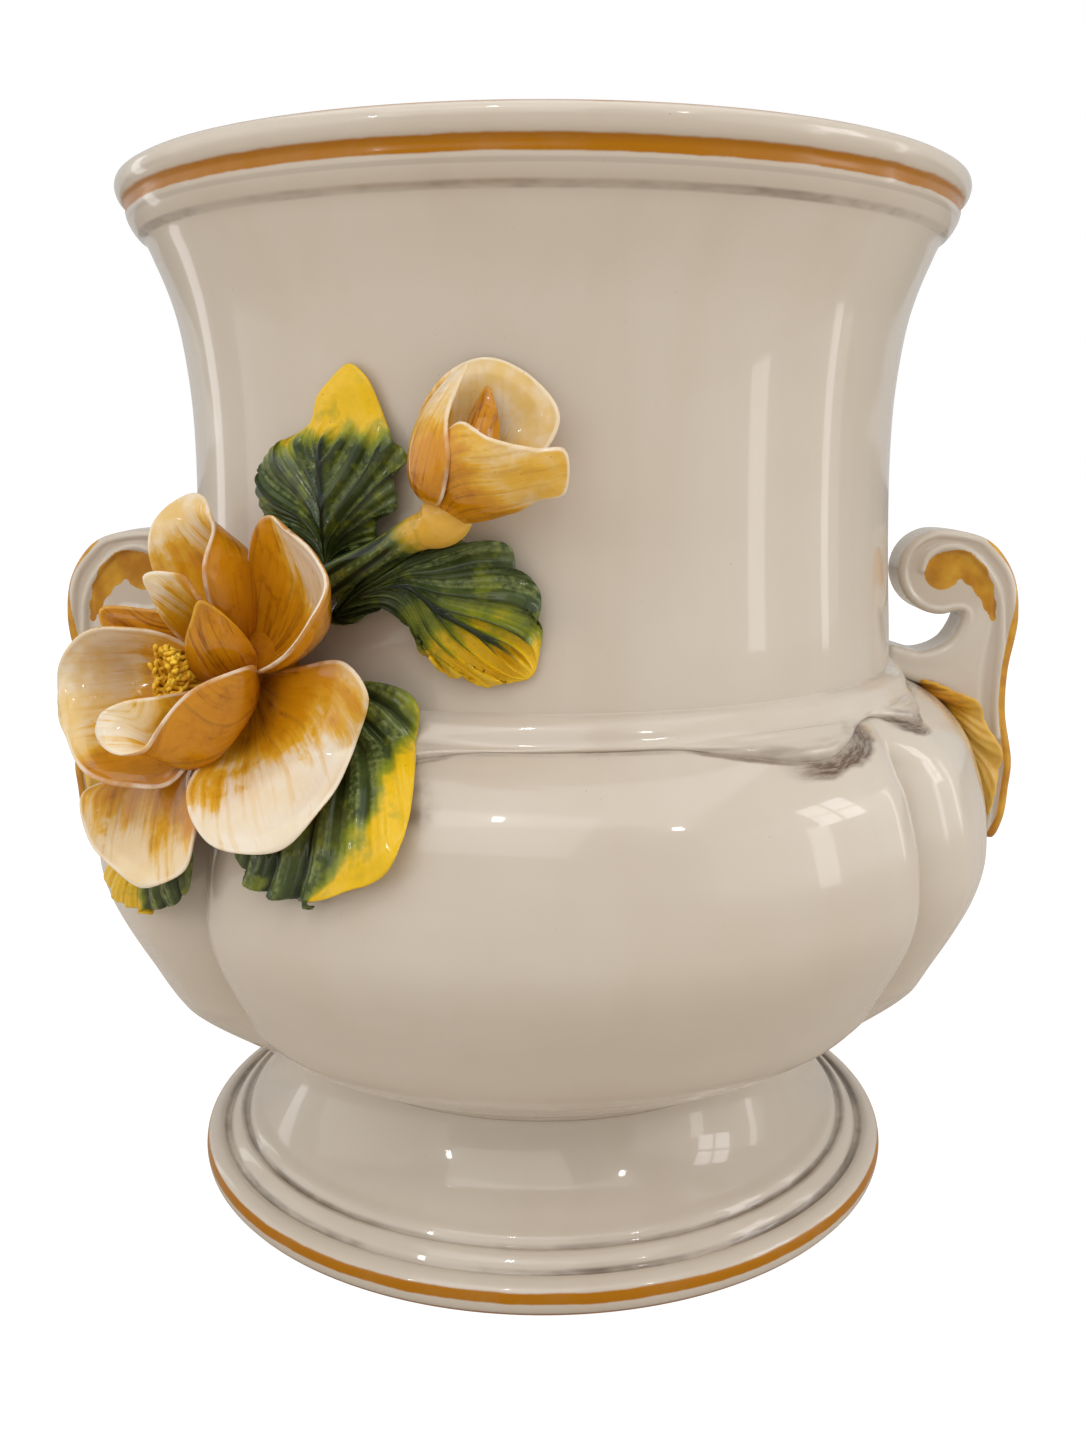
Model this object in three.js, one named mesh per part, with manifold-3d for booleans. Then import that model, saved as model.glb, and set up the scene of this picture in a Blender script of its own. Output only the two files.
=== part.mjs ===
// A glazed cachepot urn: flared neck, four-lobed belly, spreading foot, two scroll handles,
// and a hand-modelled flower, bud and leaves applied to the front left.
// Millimetres, +Z up. The origin is on the pot's axis, on the surface that it stands on.
// Angles run round the axis from the front (-Y) towards the right (+X).

import * as THREE from "three";
import { mergeVertices } from "three/addons/utils/BufferGeometryUtils.js";
import Module from "manifold-3d";

const wasm = await Module();
wasm.setup();

// Driving dimensions of the pot
const rimRadius = 150;
const neckWaistRadius = 123.5;
const neckHeight = 173;
const lipHeight = 12;
const bellyRadius = 157;
const bellyHeight = 127;
const waistRadius = 88;
const footRadius = 122;
const footHeight = 41;
const wall = 8;
const baseThickness = 9;
const baseRecess = 2;
const standingRingWidth = 13;

// Lobes of the belly: the angle of the front lobe's middle, and from there to its creases
const lobeTurn = 4;
const frontLobeHalf = 46.5;
const creaseDepth = 11;
const creaseHalfAngle = 9;
const fanHalfAngle = 46;
const fanHeight = 36;

// Corners of the turned surfaces, closer together by the creases
const cornersPerLobe = 14;
const crowding = 0.4;

// Coil of clay over the seam between belly and neck
const bandHeight = 10;
const bandProud = 6;

// Scroll handles
const handleThickness = 20;
const handleBevel = 2.5;
const handleCorners = 56;
const voluteRadius = 15.5;
const voluteBack = 13;
const voluteClearance = 5;
const voluteHeight = 36.4;
const handleDrop = 61;
const handleLeafThickness = 3.5;
const handleLeafHalfWidth = 14;
const handleLeafFlare = 6;

// Spray of flowers: where it is seated, round from the front and up from the seam
const sprayAngle = -40;
const sprayHeight = 19;
const petalThickness = 2.6;
const leafThickness = 4;
const gap = 0.3;
const heartRadius = 12;
const stemRadius = 5;
const calyxRadius = 7.5;
const tuftHeight = 25;
const tuftRadius = 5.5;
const tuftStalkRadius = 3.5;
const stamenRadius = 1.1;
const stamenLength = 10;
const stamenCount = 11;

const neckBottom = footHeight + bellyHeight;
const potHeight = neckBottom + neckHeight;
const radians = THREE.MathUtils.degToRad;

// Glazes
const glaze = (color, roughness) => new THREE.MeshStandardMaterial({ color, roughness, metalness: 0 });
const ivoryGlaze = glaze(0xd8cec2, 0.18);
const ochreGlaze = glaze(0xc8861e, 0.2);
const creamGlaze = glaze(0xe6c489, 0.2);
const greenGlaze = glaze(0x2f4a2a, 0.22);
const goldGlaze = glaze(0xc99a2c, 0.35);

const urn = new THREE.Group();

// A closed mesh as a solid, and back again.
function solid(geometry) {
  const bare = geometry.clone();
  bare.deleteAttribute("normal");
  bare.deleteAttribute("uv");
  const merged = mergeVertices(bare, 1e-4);
  return new wasm.Manifold(
    new wasm.Mesh({
      numProp: 3,
      vertProperties: new Float32Array(merged.attributes.position.array),
      triVerts: new Uint32Array(merged.index.array),
    }),
  );
}

function geometryOf(shape) {
  const mesh = shape.getMesh();
  const geometry = new THREE.BufferGeometry();
  geometry.setAttribute("position", new THREE.BufferAttribute(mesh.vertProperties, 3));
  geometry.setIndex(new THREE.BufferAttribute(mesh.triVerts, 1));
  geometry.computeVertexNormals();
  return geometry;
}

function largestPiece(shape) {
  const pieces = shape.decompose();
  return pieces.reduce((most, piece) => (piece.volume() > most.volume() ? piece : most));
}

function add(name, shape, material) {
  const mesh = new THREE.Mesh(geometryOf(shape), material);
  mesh.name = name;
  urn.add(mesh);
  return mesh;
}

// Outline of the pot as radius and height pairs, each part from the bottom up.
function footOutline() {
  const r = footRadius;
  const w = waistRadius;
  const h = footHeight;
  const flange = [[r - 1.5, 0], [r - 0.3, 2], [r, 5], [r - 1, 7.8], [r - 4, 9.6]];
  const grooves = [[r - 7, 8.2], [r - 9.5, 11], [r - 12.5, 12.8], [r - 14, 12.2], [r - 16, 14.8]];
  const sweep = [[w + 14, h - 23.5], [w + 7.5, h - 17], [w + 2.8, h - 9.5], [w, h]];
  return [...flange, ...grooves, ...sweep];
}

// Shares of the way out from a narrow radius to a wide one, and of the way up.
function swell(rows, narrow, wide, bottom, height) {
  return rows.map(([out, up]) => [narrow + out * (wide - narrow), bottom + up * height]);
}

const bellyLower = [
  [0, 0], [0.1, 0.04], [0.26, 0.08], [0.48, 0.146], [0.66, 0.22], [0.8, 0.335], [0.9, 0.425], [0.96, 0.49], [1, 0.6],
];
const bellyUpper = [[0.985, 0.69], [0.93, 0.76], [0.82, 0.85], [0.62, 0.92], [0.38, 0.965], [0.08, 1]];
const neckFlare = [
  [0.02, 0], [0.02, 0.1], [0, 0.26], [0.015, 0.46], [0.075, 0.584], [0.215, 0.711], [0.34, 0.775], [0.51, 0.838],
];

function bellyOutline() {
  return [
    ...swell(bellyLower, waistRadius, bellyRadius, footHeight, bellyHeight),
    ...swell(bellyUpper, neckWaistRadius, bellyRadius, footHeight, bellyHeight),
  ];
}

function neckOutline() {
  const r = rimRadius;
  const bead = potHeight - lipHeight;
  const rim = [
    [r - 9.5, bead - 9], [r - 7.6, bead - 7.6], [r - 5.2, bead - 4.5], [r - 3.6, bead - 0.8], [r - 3.4, bead + 2.4],
    [r - 1.2, bead + 4.6], [r, bead + 8], [r - 0.6, bead + 10.6], [r - 2.6, potHeight],
  ];
  return [...swell(neckFlare, neckWaistRadius, rimRadius, neckBottom, neckHeight), ...rim];
}

// Radius of the pot's outside at a height, between the creases.
function wallRadius(height) {
  const rows = [...footOutline(), ...bellyOutline().slice(1, -1), ...neckOutline()];
  const above = Math.max(rows.findIndex(([, z]) => z >= height), 1);
  const [r1, z1] = rows[above];
  const [r0, z0] = rows[above - 1];
  return z1 === z0 ? r1 : r0 + ((r1 - r0) * (height - z0)) / (z1 - z0);
}

const creaseAngles = [
  lobeTurn - frontLobeHalf, lobeTurn + frontLobeHalf, lobeTurn + 180 - frontLobeHalf, lobeTurn + 180 + frontLobeHalf,
];

// How far a crease cuts in at an angle and a height. By the waist it opens into a shallow fan.
function creaseCut(angle, height) {
  const aside = (crease) => Math.abs(THREE.MathUtils.euclideanModulo(angle - crease + 180, 360) - 180);
  const offset = Math.min(...creaseAngles.map(aside));
  const fan = THREE.MathUtils.clamp((footHeight + fanHeight - height) / fanHeight, 0, 1);
  const half = creaseHalfAngle + (fanHalfAngle - creaseHalfAngle) * fan ** 1.1;
  const share = THREE.MathUtils.clamp((height - footHeight) / bellyHeight, 0, 1);
  const depth = creaseDepth * Math.min(1, 3.2 * share) * Math.min(1, 8 * (1 - share));
  return depth * Math.max(0, 1 - offset / half) ** (2 - 0.7 * fan);
}

// Angles of the corners round the axis, in order.
function cornerAngles() {
  const angles = [];
  creaseAngles.forEach((start, i) => {
    const next = creaseAngles[(i + 1) % creaseAngles.length];
    const span = THREE.MathUtils.euclideanModulo(next - start, 360);
    for (let k = 0; k < cornersPerLobe; k += 1) {
      const turn = k / cornersPerLobe;
      const crowded = turn - (crowding * Math.sin(2 * Math.PI * turn)) / (2 * Math.PI);
      angles.push(start + span * crowded);
    }
  });
  return angles;
}

// A solid turned about the pot's axis. The profile is closed, and creases can be pressed into it.
function turned(profile, lobed = false) {
  const corners = cornerAngles();
  const points = [...profile, profile[0]].map(([radius, z]) => new THREE.Vector2(radius, z));
  const lathe = new THREE.LatheGeometry(points, corners.length);
  lathe.rotateX(Math.PI / 2);
  const position = lathe.attributes.position;
  for (let i = 0; i < position.count; i += 1) {
    const radius = points[i % points.length].x;
    const angle = corners[Math.floor(i / points.length) % corners.length];
    const cut = lobed ? creaseCut(angle, position.getZ(i)) : 0;
    const reach = radius > 0 ? radius - cut : 0;
    position.setXY(i, reach * Math.sin(radians(angle)), -reach * Math.cos(radians(angle)));
  }
  const made = solid(lathe);
  return made.volume() < 0 ? solid(flipped(lathe)) : made;
}

function flipped(geometry) {
  const index = geometry.index.array;
  for (let i = 0; i < index.length; i += 3) [index[i + 1], index[i + 2]] = [index[i + 2], index[i + 1]];
  return geometry;
}

// The lining of an outline: the same curve, a wall's thickness further in.
function lining(outline, thickness) {
  return outline.map(([radius, z], i) => {
    const [r0, z0] = outline[Math.max(i - 1, 0)];
    const [r1, z1] = outline[Math.min(i + 1, outline.length - 1)];
    const length = Math.hypot(r1 - r0, z1 - z0);
    return [radius - (thickness * (z1 - z0)) / length, z + (thickness * (r1 - r0)) / length];
  });
}

// Foot
function foot() {
  const ring = footRadius - 1.5 - standingRingWidth;
  const inside = waistRadius - wall;
  return turned([
    ...footOutline(),
    [inside, footHeight],
    [inside + 8, baseThickness + 8],
    [inside + 8, baseThickness],
    [0, baseThickness],
    [0, baseRecess],
    [ring - baseRecess, baseRecess],
    [ring, 0],
  ]);
}

// Belly
function belly() {
  const outline = bellyOutline();
  const inner = lining(outline, wall).filter((point, i) => i % 2 === 1).reverse();
  const clear = ([, z]) => z < neckBottom - wall / 2 && z > footHeight + wall / 2;
  return turned(
    [
      ...outline,
      [neckWaistRadius - wall, neckBottom],
      ...inner.filter(clear),
      [waistRadius - wall, footHeight],
    ],
    true,
  );
}

// Neck
function neck() {
  const outline = neckOutline();
  const lip = [rimRadius - 2.6 - wall * 0.6, potHeight];
  const throat = [rimRadius - 2.6 - wall * 1.2, potHeight - 3];
  const flare = swell(neckFlare, neckWaistRadius, rimRadius, neckBottom, neckHeight);
  const inner = flare.filter((point, i) => i % 2 === 0).map(([radius, z]) => [radius - wall, z]).reverse();
  return turned([...outline, lip, throat, ...inner]);
}

// Coil over the seam
function jointBand(grow = 0) {
  const inside = neckWaistRadius + 0.6 + gap - 4 * grow;
  const low = neckBottom + gap - grow;
  const out = neckWaistRadius + 0.6 + gap + bandProud + grow;
  const top = neckBottom + gap + bandHeight + grow;
  return turned([
    [inside, low],
    [out - 1, low],
    [out, low + bandHeight * 0.25],
    [out - 0.6, low + bandHeight * 0.6],
    [out - bandProud + 2.5, top - bandHeight * 0.1],
    [inside, top],
  ]);
}

// The pot as filled forms, a little larger, for trimming what is laid on it.
function trimmer() {
  const grown = (rows) => rows.map(([radius, z]) => [radius + gap, z]);
  const outline = [...grown(footOutline()), ...grown(bellyOutline()).slice(1)];
  return [
    turned([...outline, [0, neckBottom + gap], [0, 0]], true),
    turned([[0, neckBottom], ...grown(neckOutline()), [0, potHeight]]),
    jointBand(gap),
  ];
}

// A place on the spray: degrees round from its seat, millimetres up, and out from the wall there.
const spray = {
  at([round, up, out]) {
    const height = neckBottom + sprayHeight + up;
    const reach = wallRadius(height) + out;
    const turn = radians(sprayAngle + round);
    return new THREE.Vector3(reach * Math.sin(turn), -reach * Math.cos(turn), height);
  },
};

// A thin curved sheet of clay between two edges and a spine that share a root and a tip.
function sheet(seat, form, thickness, grow = 0) {
  const rails = [form.left, form.spine, form.right].map(
    (rail) => new THREE.CatmullRomCurve3([form.root, ...rail, form.tip].map((p) => seat.at(p)), false, "centripetal"),
  );
  const along = form.along ?? 9;
  const across = form.across ?? 6;
  const surface = (u, v) => {
    const [left, spine, right] = rails.map((rail) => rail.getPointAt(THREE.MathUtils.clamp(u, 0, 1)));
    const half = right.clone().sub(left).multiplyScalar(0.5 * v);
    const cup = left.add(right).multiplyScalar(0.5).sub(spine).multiplyScalar(v * v);
    return spine.clone().add(half).add(cup);
  };
  const top = [];
  const bottom = [];
  const step = 0.01;
  for (let i = 0; i <= along; i += 1) {
    for (let j = 0; j <= across; j += 1) {
      const u = 0.03 + (0.94 * i) / along;
      const v = -1 + (2 * j) / across;
      const here = surface(u, v);
      const alongWay = surface(u + step, v).sub(surface(u - step, v)).normalize();
      const acrossWay = surface(u, v + step).sub(surface(u, v - step)).normalize();
      const normal = alongWay.clone().cross(acrossWay).normalize();
      if (i === 0) here.addScaledVector(alongWay, -grow);
      if (i === along) here.addScaledVector(alongWay, grow);
      if (j === 0) here.addScaledVector(acrossWay, -grow);
      if (j === across) here.addScaledVector(acrossWay, grow);
      const half = (thickness / 2) * (1 - 0.35 * v ** 4) + grow;
      top.push(here.clone().addScaledVector(normal, half));
      bottom.push(here.clone().addScaledVector(normal, -half));
    }
  }
  const count = top.length;
  const row = across + 1;
  const faces = [];
  const quad = (a, b, c, d) => faces.push(a, b, c, a, c, d);
  for (let i = 0; i < along; i += 1) {
    for (let j = 0; j < across; j += 1) {
      const a = i * row + j;
      quad(a, a + row, a + row + 1, a + 1);
      quad(count + a, count + a + 1, count + a + row + 1, count + a + row);
    }
    const left = i * row;
    const right = left + across;
    quad(left, count + left, count + left + row, left + row);
    quad(right, right + row, count + right + row, count + right);
  }
  for (let j = 0; j < across; j += 1) {
    const end = along * row + j;
    quad(j, j + 1, count + j + 1, count + j);
    quad(end, count + end, count + end + 1, end + 1);
  }
  const geometry = new THREE.BufferGeometry().setFromPoints([...top, ...bottom]);
  geometry.setIndex(faces);
  const made = solid(geometry);
  return made.volume() < 0 ? solid(flipped(geometry)) : made;
}

// Petals of the flower, from the front to the back.
const petals = {
  petal_front_cup: {
    root: [1, -3, 11], tip: [-3, -15, 57],
    left: [[-0.5, -6, 28], [0, -6, 44], [-1.5, -7, 52], [-2.5, -10, 56]],
    spine: [[4.5, -13, 22], [2.5, -25, 17], [0, -25, 30], [-2, -20, 46]],
    right: [[6.5, 2, 26], [3.5, -4, 40], [2, -13, 47], [1.5, -19, 51], [0, -20, 54]],
    along: 10,
  },
  petal_inner_fold: {
    root: [1.5, -6, 14], tip: [1, 20, 31],
    left: [[-2, -4, 26], [-1.5, 6, 31], [0, 14, 32]],
    spine: [[2, 2, 23], [1.5, 10, 28]],
    right: [[3.5, 2, 15], [2.5, 12, 21]],
    along: 7,
  },
  petal_inner_small: {
    root: [-2, 0, 14], tip: [-3.5, 27, 41],
    left: [[-4, 4, 24], [-4, 12, 33], [-3.5, 19, 38]],
    spine: [[-2, 8, 19], [-2.5, 18, 28]],
    right: [[0.5, 8, 18], [0.5, 18, 28], [0, 27, 35]],
    along: 7,
  },
  petal_right_cup: {
    root: [0.5, -4, 9], tip: [11, 40, 22],
    left: [[-1.5, 6, 9], [-1.5, 21, 10], [0.5, 34, 12], [4, 43, 14]],
    spine: [[8, 7, 8], [13, 20, 13], [12, 31, 14]],
    right: [[5.5, -1, 20], [13.5, 7, 33], [17.5, 16, 38], [19, 26, 36], [17, 33, 30]],
    along: 11,
  },
  petal_top: {
    root: [-1.5, -1, 9], tip: [-7.5, 49, 16],
    left: [[-9, 13, 22], [-10.5, 29, 29], [-11, 39, 28], [-11, 46, 22]],
    spine: [[-1, 18, 8], [-3.5, 34, 8]],
    right: [[-0.5, 16, 24], [-0.5, 28, 27], [-2.5, 40, 20]],
  },
  petal_left: {
    root: [-3.5, -4, 12], tip: [-16, -14, 51],
    left: [[-7, 8, 29], [-11, 10, 43], [-14, 3, 51]],
    spine: [[-9, -9, 20], [-14, -12, 32]],
    right: [[1.5, -30, 21], [-2, -31, 27], [-5.5, -28, 37], [-10.5, -22, 46]],
    along: 10,
  },
  petal_lower_right: {
    root: [0, -5, 9], tip: [17, -40, 18],
    left: [[1.5, -24, 17], [3.5, -32, 19], [8, -42, 18], [12, -44, 17]],
    spine: [[4.5, -19, 15], [12.5, -29, 12]],
    right: [[11.5, 2, 19], [19, 5, 25], [22, -3, 28], [20, -18, 25], [20, -29, 21]],
    along: 10,
  },
  petal_lower_left: {
    root: [-3, -12, 6], tip: [1, -58, 17],
    left: [[-11, -34, 12], [-14, -41, 18], [-8.5, -50, 20], [-3.5, -55, 19]],
    spine: [[-5, -35, 8], [-3, -49, 9]],
    right: [[-0.5, -30, 9], [4.5, -41, 12], [4.5, -52, 14]],
  },
  petal_back: {
    root: [-3.5, 2, 9], tip: [-18.5, 13, 37],
    left: [[-10.5, 11, 15], [-15.5, 13, 24]],
    spine: [[-11.5, 2, 13], [-16.5, 4, 27]],
    right: [[-11, -9, 15], [-16.5, -6, 29]],
    along: 7,
  },
};

const budPetals = {
  bud_petal_front: {
    root: [28.5, 44, 15], tip: [42.5, 56, 32],
    left: [[27.5, 55, 23], [31.5, 70, 27], [35, 66, 32], [39.5, 63, 34], [42, 63, 34]],
    spine: [[31.5, 52, 27], [37.5, 54, 31]],
    right: [[32, 43, 18], [36.5, 46, 22], [40, 50, 28], [42, 51, 31]],
    along: 10,
  },
  bud_petal_left: {
    root: [27.5, 47, 14], tip: [31.5, 86, 11],
    left: [[26, 56, 18], [26, 68, 18], [28.5, 80, 12]],
    spine: [[27, 54, 25], [28, 67, 24]],
    right: [[30, 50, 27], [31, 60, 30], [30.5, 71, 26], [31, 80, 18]],
  },
  bud_core: {
    root: [30, 49, 11], tip: [33.5, 80, 9],
    left: [[30, 59, 11], [31.5, 71, 10]],
    spine: [[32, 58, 18], [33, 70, 17]],
    right: [[34, 57, 14], [35, 69, 12]],
    along: 7,
  },
  bud_petal_back: {
    root: [28.5, 46, 11], tip: [33.5, 88, 3],
    left: [[25.5, 61, 12], [25.5, 74, 9], [29, 85, 5]],
    spine: [[32, 59, 6], [34, 74, 4]],
    right: [[35, 54, 14], [40.5, 63, 13], [42, 72, 10], [38.5, 83, 5]],
  },
};

const leaves = {
  leaf_upper: {
    root: [11, 29, 5], tip: [14.5, 87, 4],
    left: [[5.5, 37, 5], [0, 44, 5], [-1.5, 54, 5], [2, 63, 5], [8, 70, 5], [9.5, 78, 5], [12, 84, 4]],
    spine: [[11, 42, 5], [11, 62, 5], [12.5, 77, 5]],
    right: [[18, 40, 7], [20.5, 49, 7], [21.5, 59, 6], [20.5, 66, 6], [19, 74, 5], [17, 83, 5]],
    along: 13,
  },
  leaf_right: {
    root: [10, 12, 4], tip: [38.5, -1, 4],
    left: [[15, 22, 9], [21.5, 31, 10], [27, 36, 8], [32.5, 37, 7], [36, 32, 6], [38.5, 23, 5], [39.5, 10, 4]],
    spine: [[19, 23, 10], [23.5, 25, 10], [27.5, 18, 8], [33.5, 7, 6]],
    right: [[15.5, 13, 7], [20.5, 19, 7], [23.5, 14, 6], [25.5, 5, 6], [29, 0, 5], [34, -2, 4]],
    along: 13,
  },
  leaf_lower_right: {
    root: [7, -11, 6], tip: [17, -57, 5],
    left: [[7, -25, 6], [8, -39, 6], [9.5, -51, 5], [12.5, -56, 5]],
    spine: [[16, -25, 7], [18.5, -41, 7]],
    right: [[17.5, -5, 8], [23.5, -8, 8], [24, -18, 7], [26, -26, 6], [26.5, -40, 6], [25, -48, 6], [21.5, -53, 6]],
    along: 13,
  },
  leaf_lower_left: {
    root: [-5, -49, 5], tip: [-5.5, -71, 5],
    left: [[-12, -60, 5], [-14, -68, 5], [-11, -72, 5]],
    spine: [[-4, -58, 6]],
    right: [[2, -49, 6], [2.5, -59, 6], [-0.5, -66, 5]],
    along: 7,
  },
};

// A round bar of clay along a curve.
function bar(points, radius, sides, steps) {
  const path = new THREE.CatmullRomCurve3(points);
  const section = new THREE.Shape();
  section.absarc(0, 0, radius, 0, 2 * Math.PI);
  return solid(
    new THREE.ExtrudeGeometry(section, {
      extrudePath: path, steps, curveSegments: sides / 2, bevelEnabled: false,
    }),
  );
}

function flowerHeart(grow) {
  const dome = new THREE.SphereGeometry(heartRadius + grow, 14, 8);
  const centre = spray.at([-1, -2, 3]);
  dome.translate(centre.x, centre.y, centre.z);
  return solid(dome);
}

// Stamens: a pad of clay with short curling threads.
function stamens() {
  const at = (side, up, out) => {
    const reach = wallRadius(neckBottom + sprayHeight) + out;
    return spray.at([-2 + THREE.MathUtils.radToDeg(side / reach), up - 3, out]);
  };
  const pad = new THREE.SphereGeometry(tuftRadius, 10, 6);
  pad.scale(1, 1, 1.5);
  const centre = at(0, 0, tuftHeight);
  pad.translate(centre.x, centre.y, centre.z);
  let tuft = solid(pad).add(bar([at(1, 1, heartRadius - 1), at(0, 0, tuftHeight)], tuftStalkRadius, 8, 2));
  for (let i = 0; i < stamenCount; i += 1) {
    const turn = 2.4 * i;
    const reach = Math.sqrt((i + 0.5) / stamenCount) * tuftRadius;
    const side = reach * Math.cos(turn);
    const up = 1.5 * reach * Math.sin(turn);
    const root = at(side * 0.4, up * 0.5, tuftHeight - 1);
    const middle = at(side * 0.9, up * 0.9, tuftHeight + stamenLength / 2);
    const end = at(side * 1.2 + 1, up * 1.1 + 1, tuftHeight + stamenLength - 1);
    tuft = tuft.add(bar([root, middle, end], stamenRadius, 6, 3));
  }
  return tuft;
}

// The bud's stem, swelling into the cup that holds the petals.
function budStem(grow) {
  const path = [[28.5, 43, 14], [24.5, 39, 11], [19, 32, 9], [11, 24, 6]].map((point) => spray.at(point));
  const cup = new THREE.SphereGeometry(calyxRadius + grow, 12, 8);
  cup.translate(path[0].x, path[0].y, path[0].z);
  return bar(path, stemRadius + grow, 10, 6).add(solid(cup));
}

// The scroll of a handle: its outline seen from the front, outer edge up and over the volute,
// then along the arm into the collar, which lies on the belly's shoulder, and down the inside,
// which clears the leaf between the handle and the belly.
function handleOutline() {
  const r = voluteRadius;
  const eye = new THREE.Vector2(neckWaistRadius + 0.6 + voluteClearance + r, neckBottom + voluteHeight);
  const reach = eye.x + r + voluteBack;
  const overWall = (share, standOff) => {
    const height = neckBottom - share * handleDrop;
    return new THREE.Vector2(wallRadius(height) + standOff, height);
  };
  const lower = [[1, 8.7], [0.885, 11.7], [0.69, 13.6], [0.54, 15.7], [0.25, 19.8]].map((row) => overWall(...row));
  const upper = [[3.7, 0], [0, 0.55], [2, 1], [11, 1.32]].map(
    ([inset, share]) => new THREE.Vector2(reach - inset, neckBottom + share * voluteHeight),
  );
  const volute = [];
  for (let turn = 90; turn <= 290; turn += 20) {
    const angle = radians(turn);
    volute.push(eye.clone().add(new THREE.Vector2(Math.cos(angle), Math.sin(angle)).multiplyScalar(r)));
  }
  const hook = [[0.52, -0.97], [0.19, -1.6], [-0.45, -1.86]].map(
    ([x, up]) => eye.clone().add(new THREE.Vector2(x * r, up * r)),
  );
  const armDepth = neckWaistRadius - wall / 2;
  const arm = [neckBottom + bandHeight - 1, neckBottom + gap].map(
    (height) => new THREE.Vector2(armDepth, height),
  );
  const seat = [0.1, 0.26, 0.56, 0.82, 0.98].map((share) => overWall(share, handleLeafThickness + 2 * gap));
  return [new THREE.SplineCurve([...lower, ...upper, ...volute, ...hook, ...arm, ...seat]), lower[0]];
}

function handle(side, grow) {
  const [curve, start] = handleOutline();
  const shape = new THREE.Shape([start, ...curve.getPoints(handleCorners).slice(1)]);
  const depth = handleThickness - 2 * handleBevel + 2 * grow;
  const body = new THREE.ExtrudeGeometry(shape, {
    depth,
    bevelEnabled: true, bevelThickness: handleBevel, bevelSize: handleBevel, bevelOffset: grow - handleBevel,
    bevelSegments: 1,
  });
  body.translate(0, 0, -depth / 2);
  body.rotateX(Math.PI / 2);
  if (side < 0) body.rotateZ(Math.PI);
  return solid(body);
}

// The ragged leaf under a handle's foot. Its edges flare up along the handle's sides.
function handleLeaf(side, grow) {
  const seat = {
    at([share, across, out]) {
      const height = neckBottom - share * handleDrop;
      const radius = wallRadius(height) + gap + handleLeafThickness / 2 + out;
      return new THREE.Vector3(side * radius, -side * across, height);
    },
  };
  const w = handleLeafHalfWidth;
  const f = handleLeafFlare;
  const rows = [[0.08, 0.8, 0.7], [0.26, 1, 1], [0.56, 1, 1], [0.82, 0.9, 0.8]];
  return sheet(
    seat,
    {
      root: [0.065, 0, 0], tip: [0.98, 0, 2],
      left: rows.map(([share, wide, raised]) => [share, -w * wide, f * raised]),
      spine: [[0.2, 0, 0], [0.5, 0, 0], [0.75, 0, 0]],
      right: rows.map(([share, wide, raised]) => [share, w * wide, f * raised]),
      along: 12,
    },
    handleLeafThickness, grow,
  );
}

add("foot", foot(), ivoryGlaze);
add("belly", belly(), ivoryGlaze);
add("joint_band", jointBand(), ivoryGlaze);
add("neck", neck(), ivoryGlaze);

// Laid pieces are trimmed by the pot and by the pieces that were laid before them.
const trimmers = trimmer();
const laid = [];
function lay(name, make, material) {
  const trimmed = [...trimmers, ...laid].reduce((shape, other) => shape.subtract(other), make(0));
  add(name, largestPiece(trimmed), material);
  laid.push(make(gap));
}

for (const [word, side] of [["left", -1], ["right", 1]]) {
  lay(`handle_${word}`, (grow) => handle(side, grow), ivoryGlaze);
  lay(`handle_leaf_${word}`, (grow) => handleLeaf(side, grow), ochreGlaze);
}
lay("flower_heart", flowerHeart, ochreGlaze);
for (const [name, form] of Object.entries(petals)) {
  lay(name, (grow) => sheet(spray, form, petalThickness, grow), creamGlaze);
}
lay("stamen_tuft", stamens, goldGlaze);
for (const [name, form] of Object.entries(budPetals)) {
  lay(name, (grow) => sheet(spray, form, petalThickness, grow), creamGlaze);
}
lay("bud_stem", budStem, greenGlaze);
for (const [name, form] of Object.entries(leaves)) {
  lay(name, (grow) => sheet(spray, form, leafThickness, grow), greenGlaze);
}

export default urn;
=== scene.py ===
"""A glazed cachepot urn with scroll handles and an applied spray of ceramic flowers.

Lengths of the pot and its spray are millimetres, as a potter would measure them, and become
metres when a mesh is made. Those of the studio and the ripples in the glaze are metres. Angles
run round the pot from its front (-Y) towards its right (+X).
"""

from __future__ import annotations

import logging
import math
from dataclasses import dataclass, field
from enum import Enum
from typing import Any, Callable, Sequence

import bmesh
import bpy
import numpy as np
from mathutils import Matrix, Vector

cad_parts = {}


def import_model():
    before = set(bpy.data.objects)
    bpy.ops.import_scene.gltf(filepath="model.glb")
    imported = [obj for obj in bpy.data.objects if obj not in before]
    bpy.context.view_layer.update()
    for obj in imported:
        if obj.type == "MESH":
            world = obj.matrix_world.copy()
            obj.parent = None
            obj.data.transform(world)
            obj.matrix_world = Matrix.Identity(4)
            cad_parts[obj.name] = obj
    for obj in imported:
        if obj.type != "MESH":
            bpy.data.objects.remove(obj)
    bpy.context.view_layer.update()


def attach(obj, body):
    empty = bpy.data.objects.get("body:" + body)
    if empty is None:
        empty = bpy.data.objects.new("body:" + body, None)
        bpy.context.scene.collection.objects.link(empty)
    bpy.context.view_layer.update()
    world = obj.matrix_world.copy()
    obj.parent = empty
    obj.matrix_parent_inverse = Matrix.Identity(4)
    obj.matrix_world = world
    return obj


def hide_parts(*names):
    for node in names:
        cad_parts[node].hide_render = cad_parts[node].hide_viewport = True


log = logging.getLogger("urn")

MM = 0.001
GAP = 0.3
STEPS_BETWEEN_POINTS = 24
PHOTO_WIDTH, PHOTO_HEIGHT = 1086, 1448

Point = Sequence[float]
Outline = list[tuple[float, float]]
Colour = tuple[float, float, float]


# Curves and meshes


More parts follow.
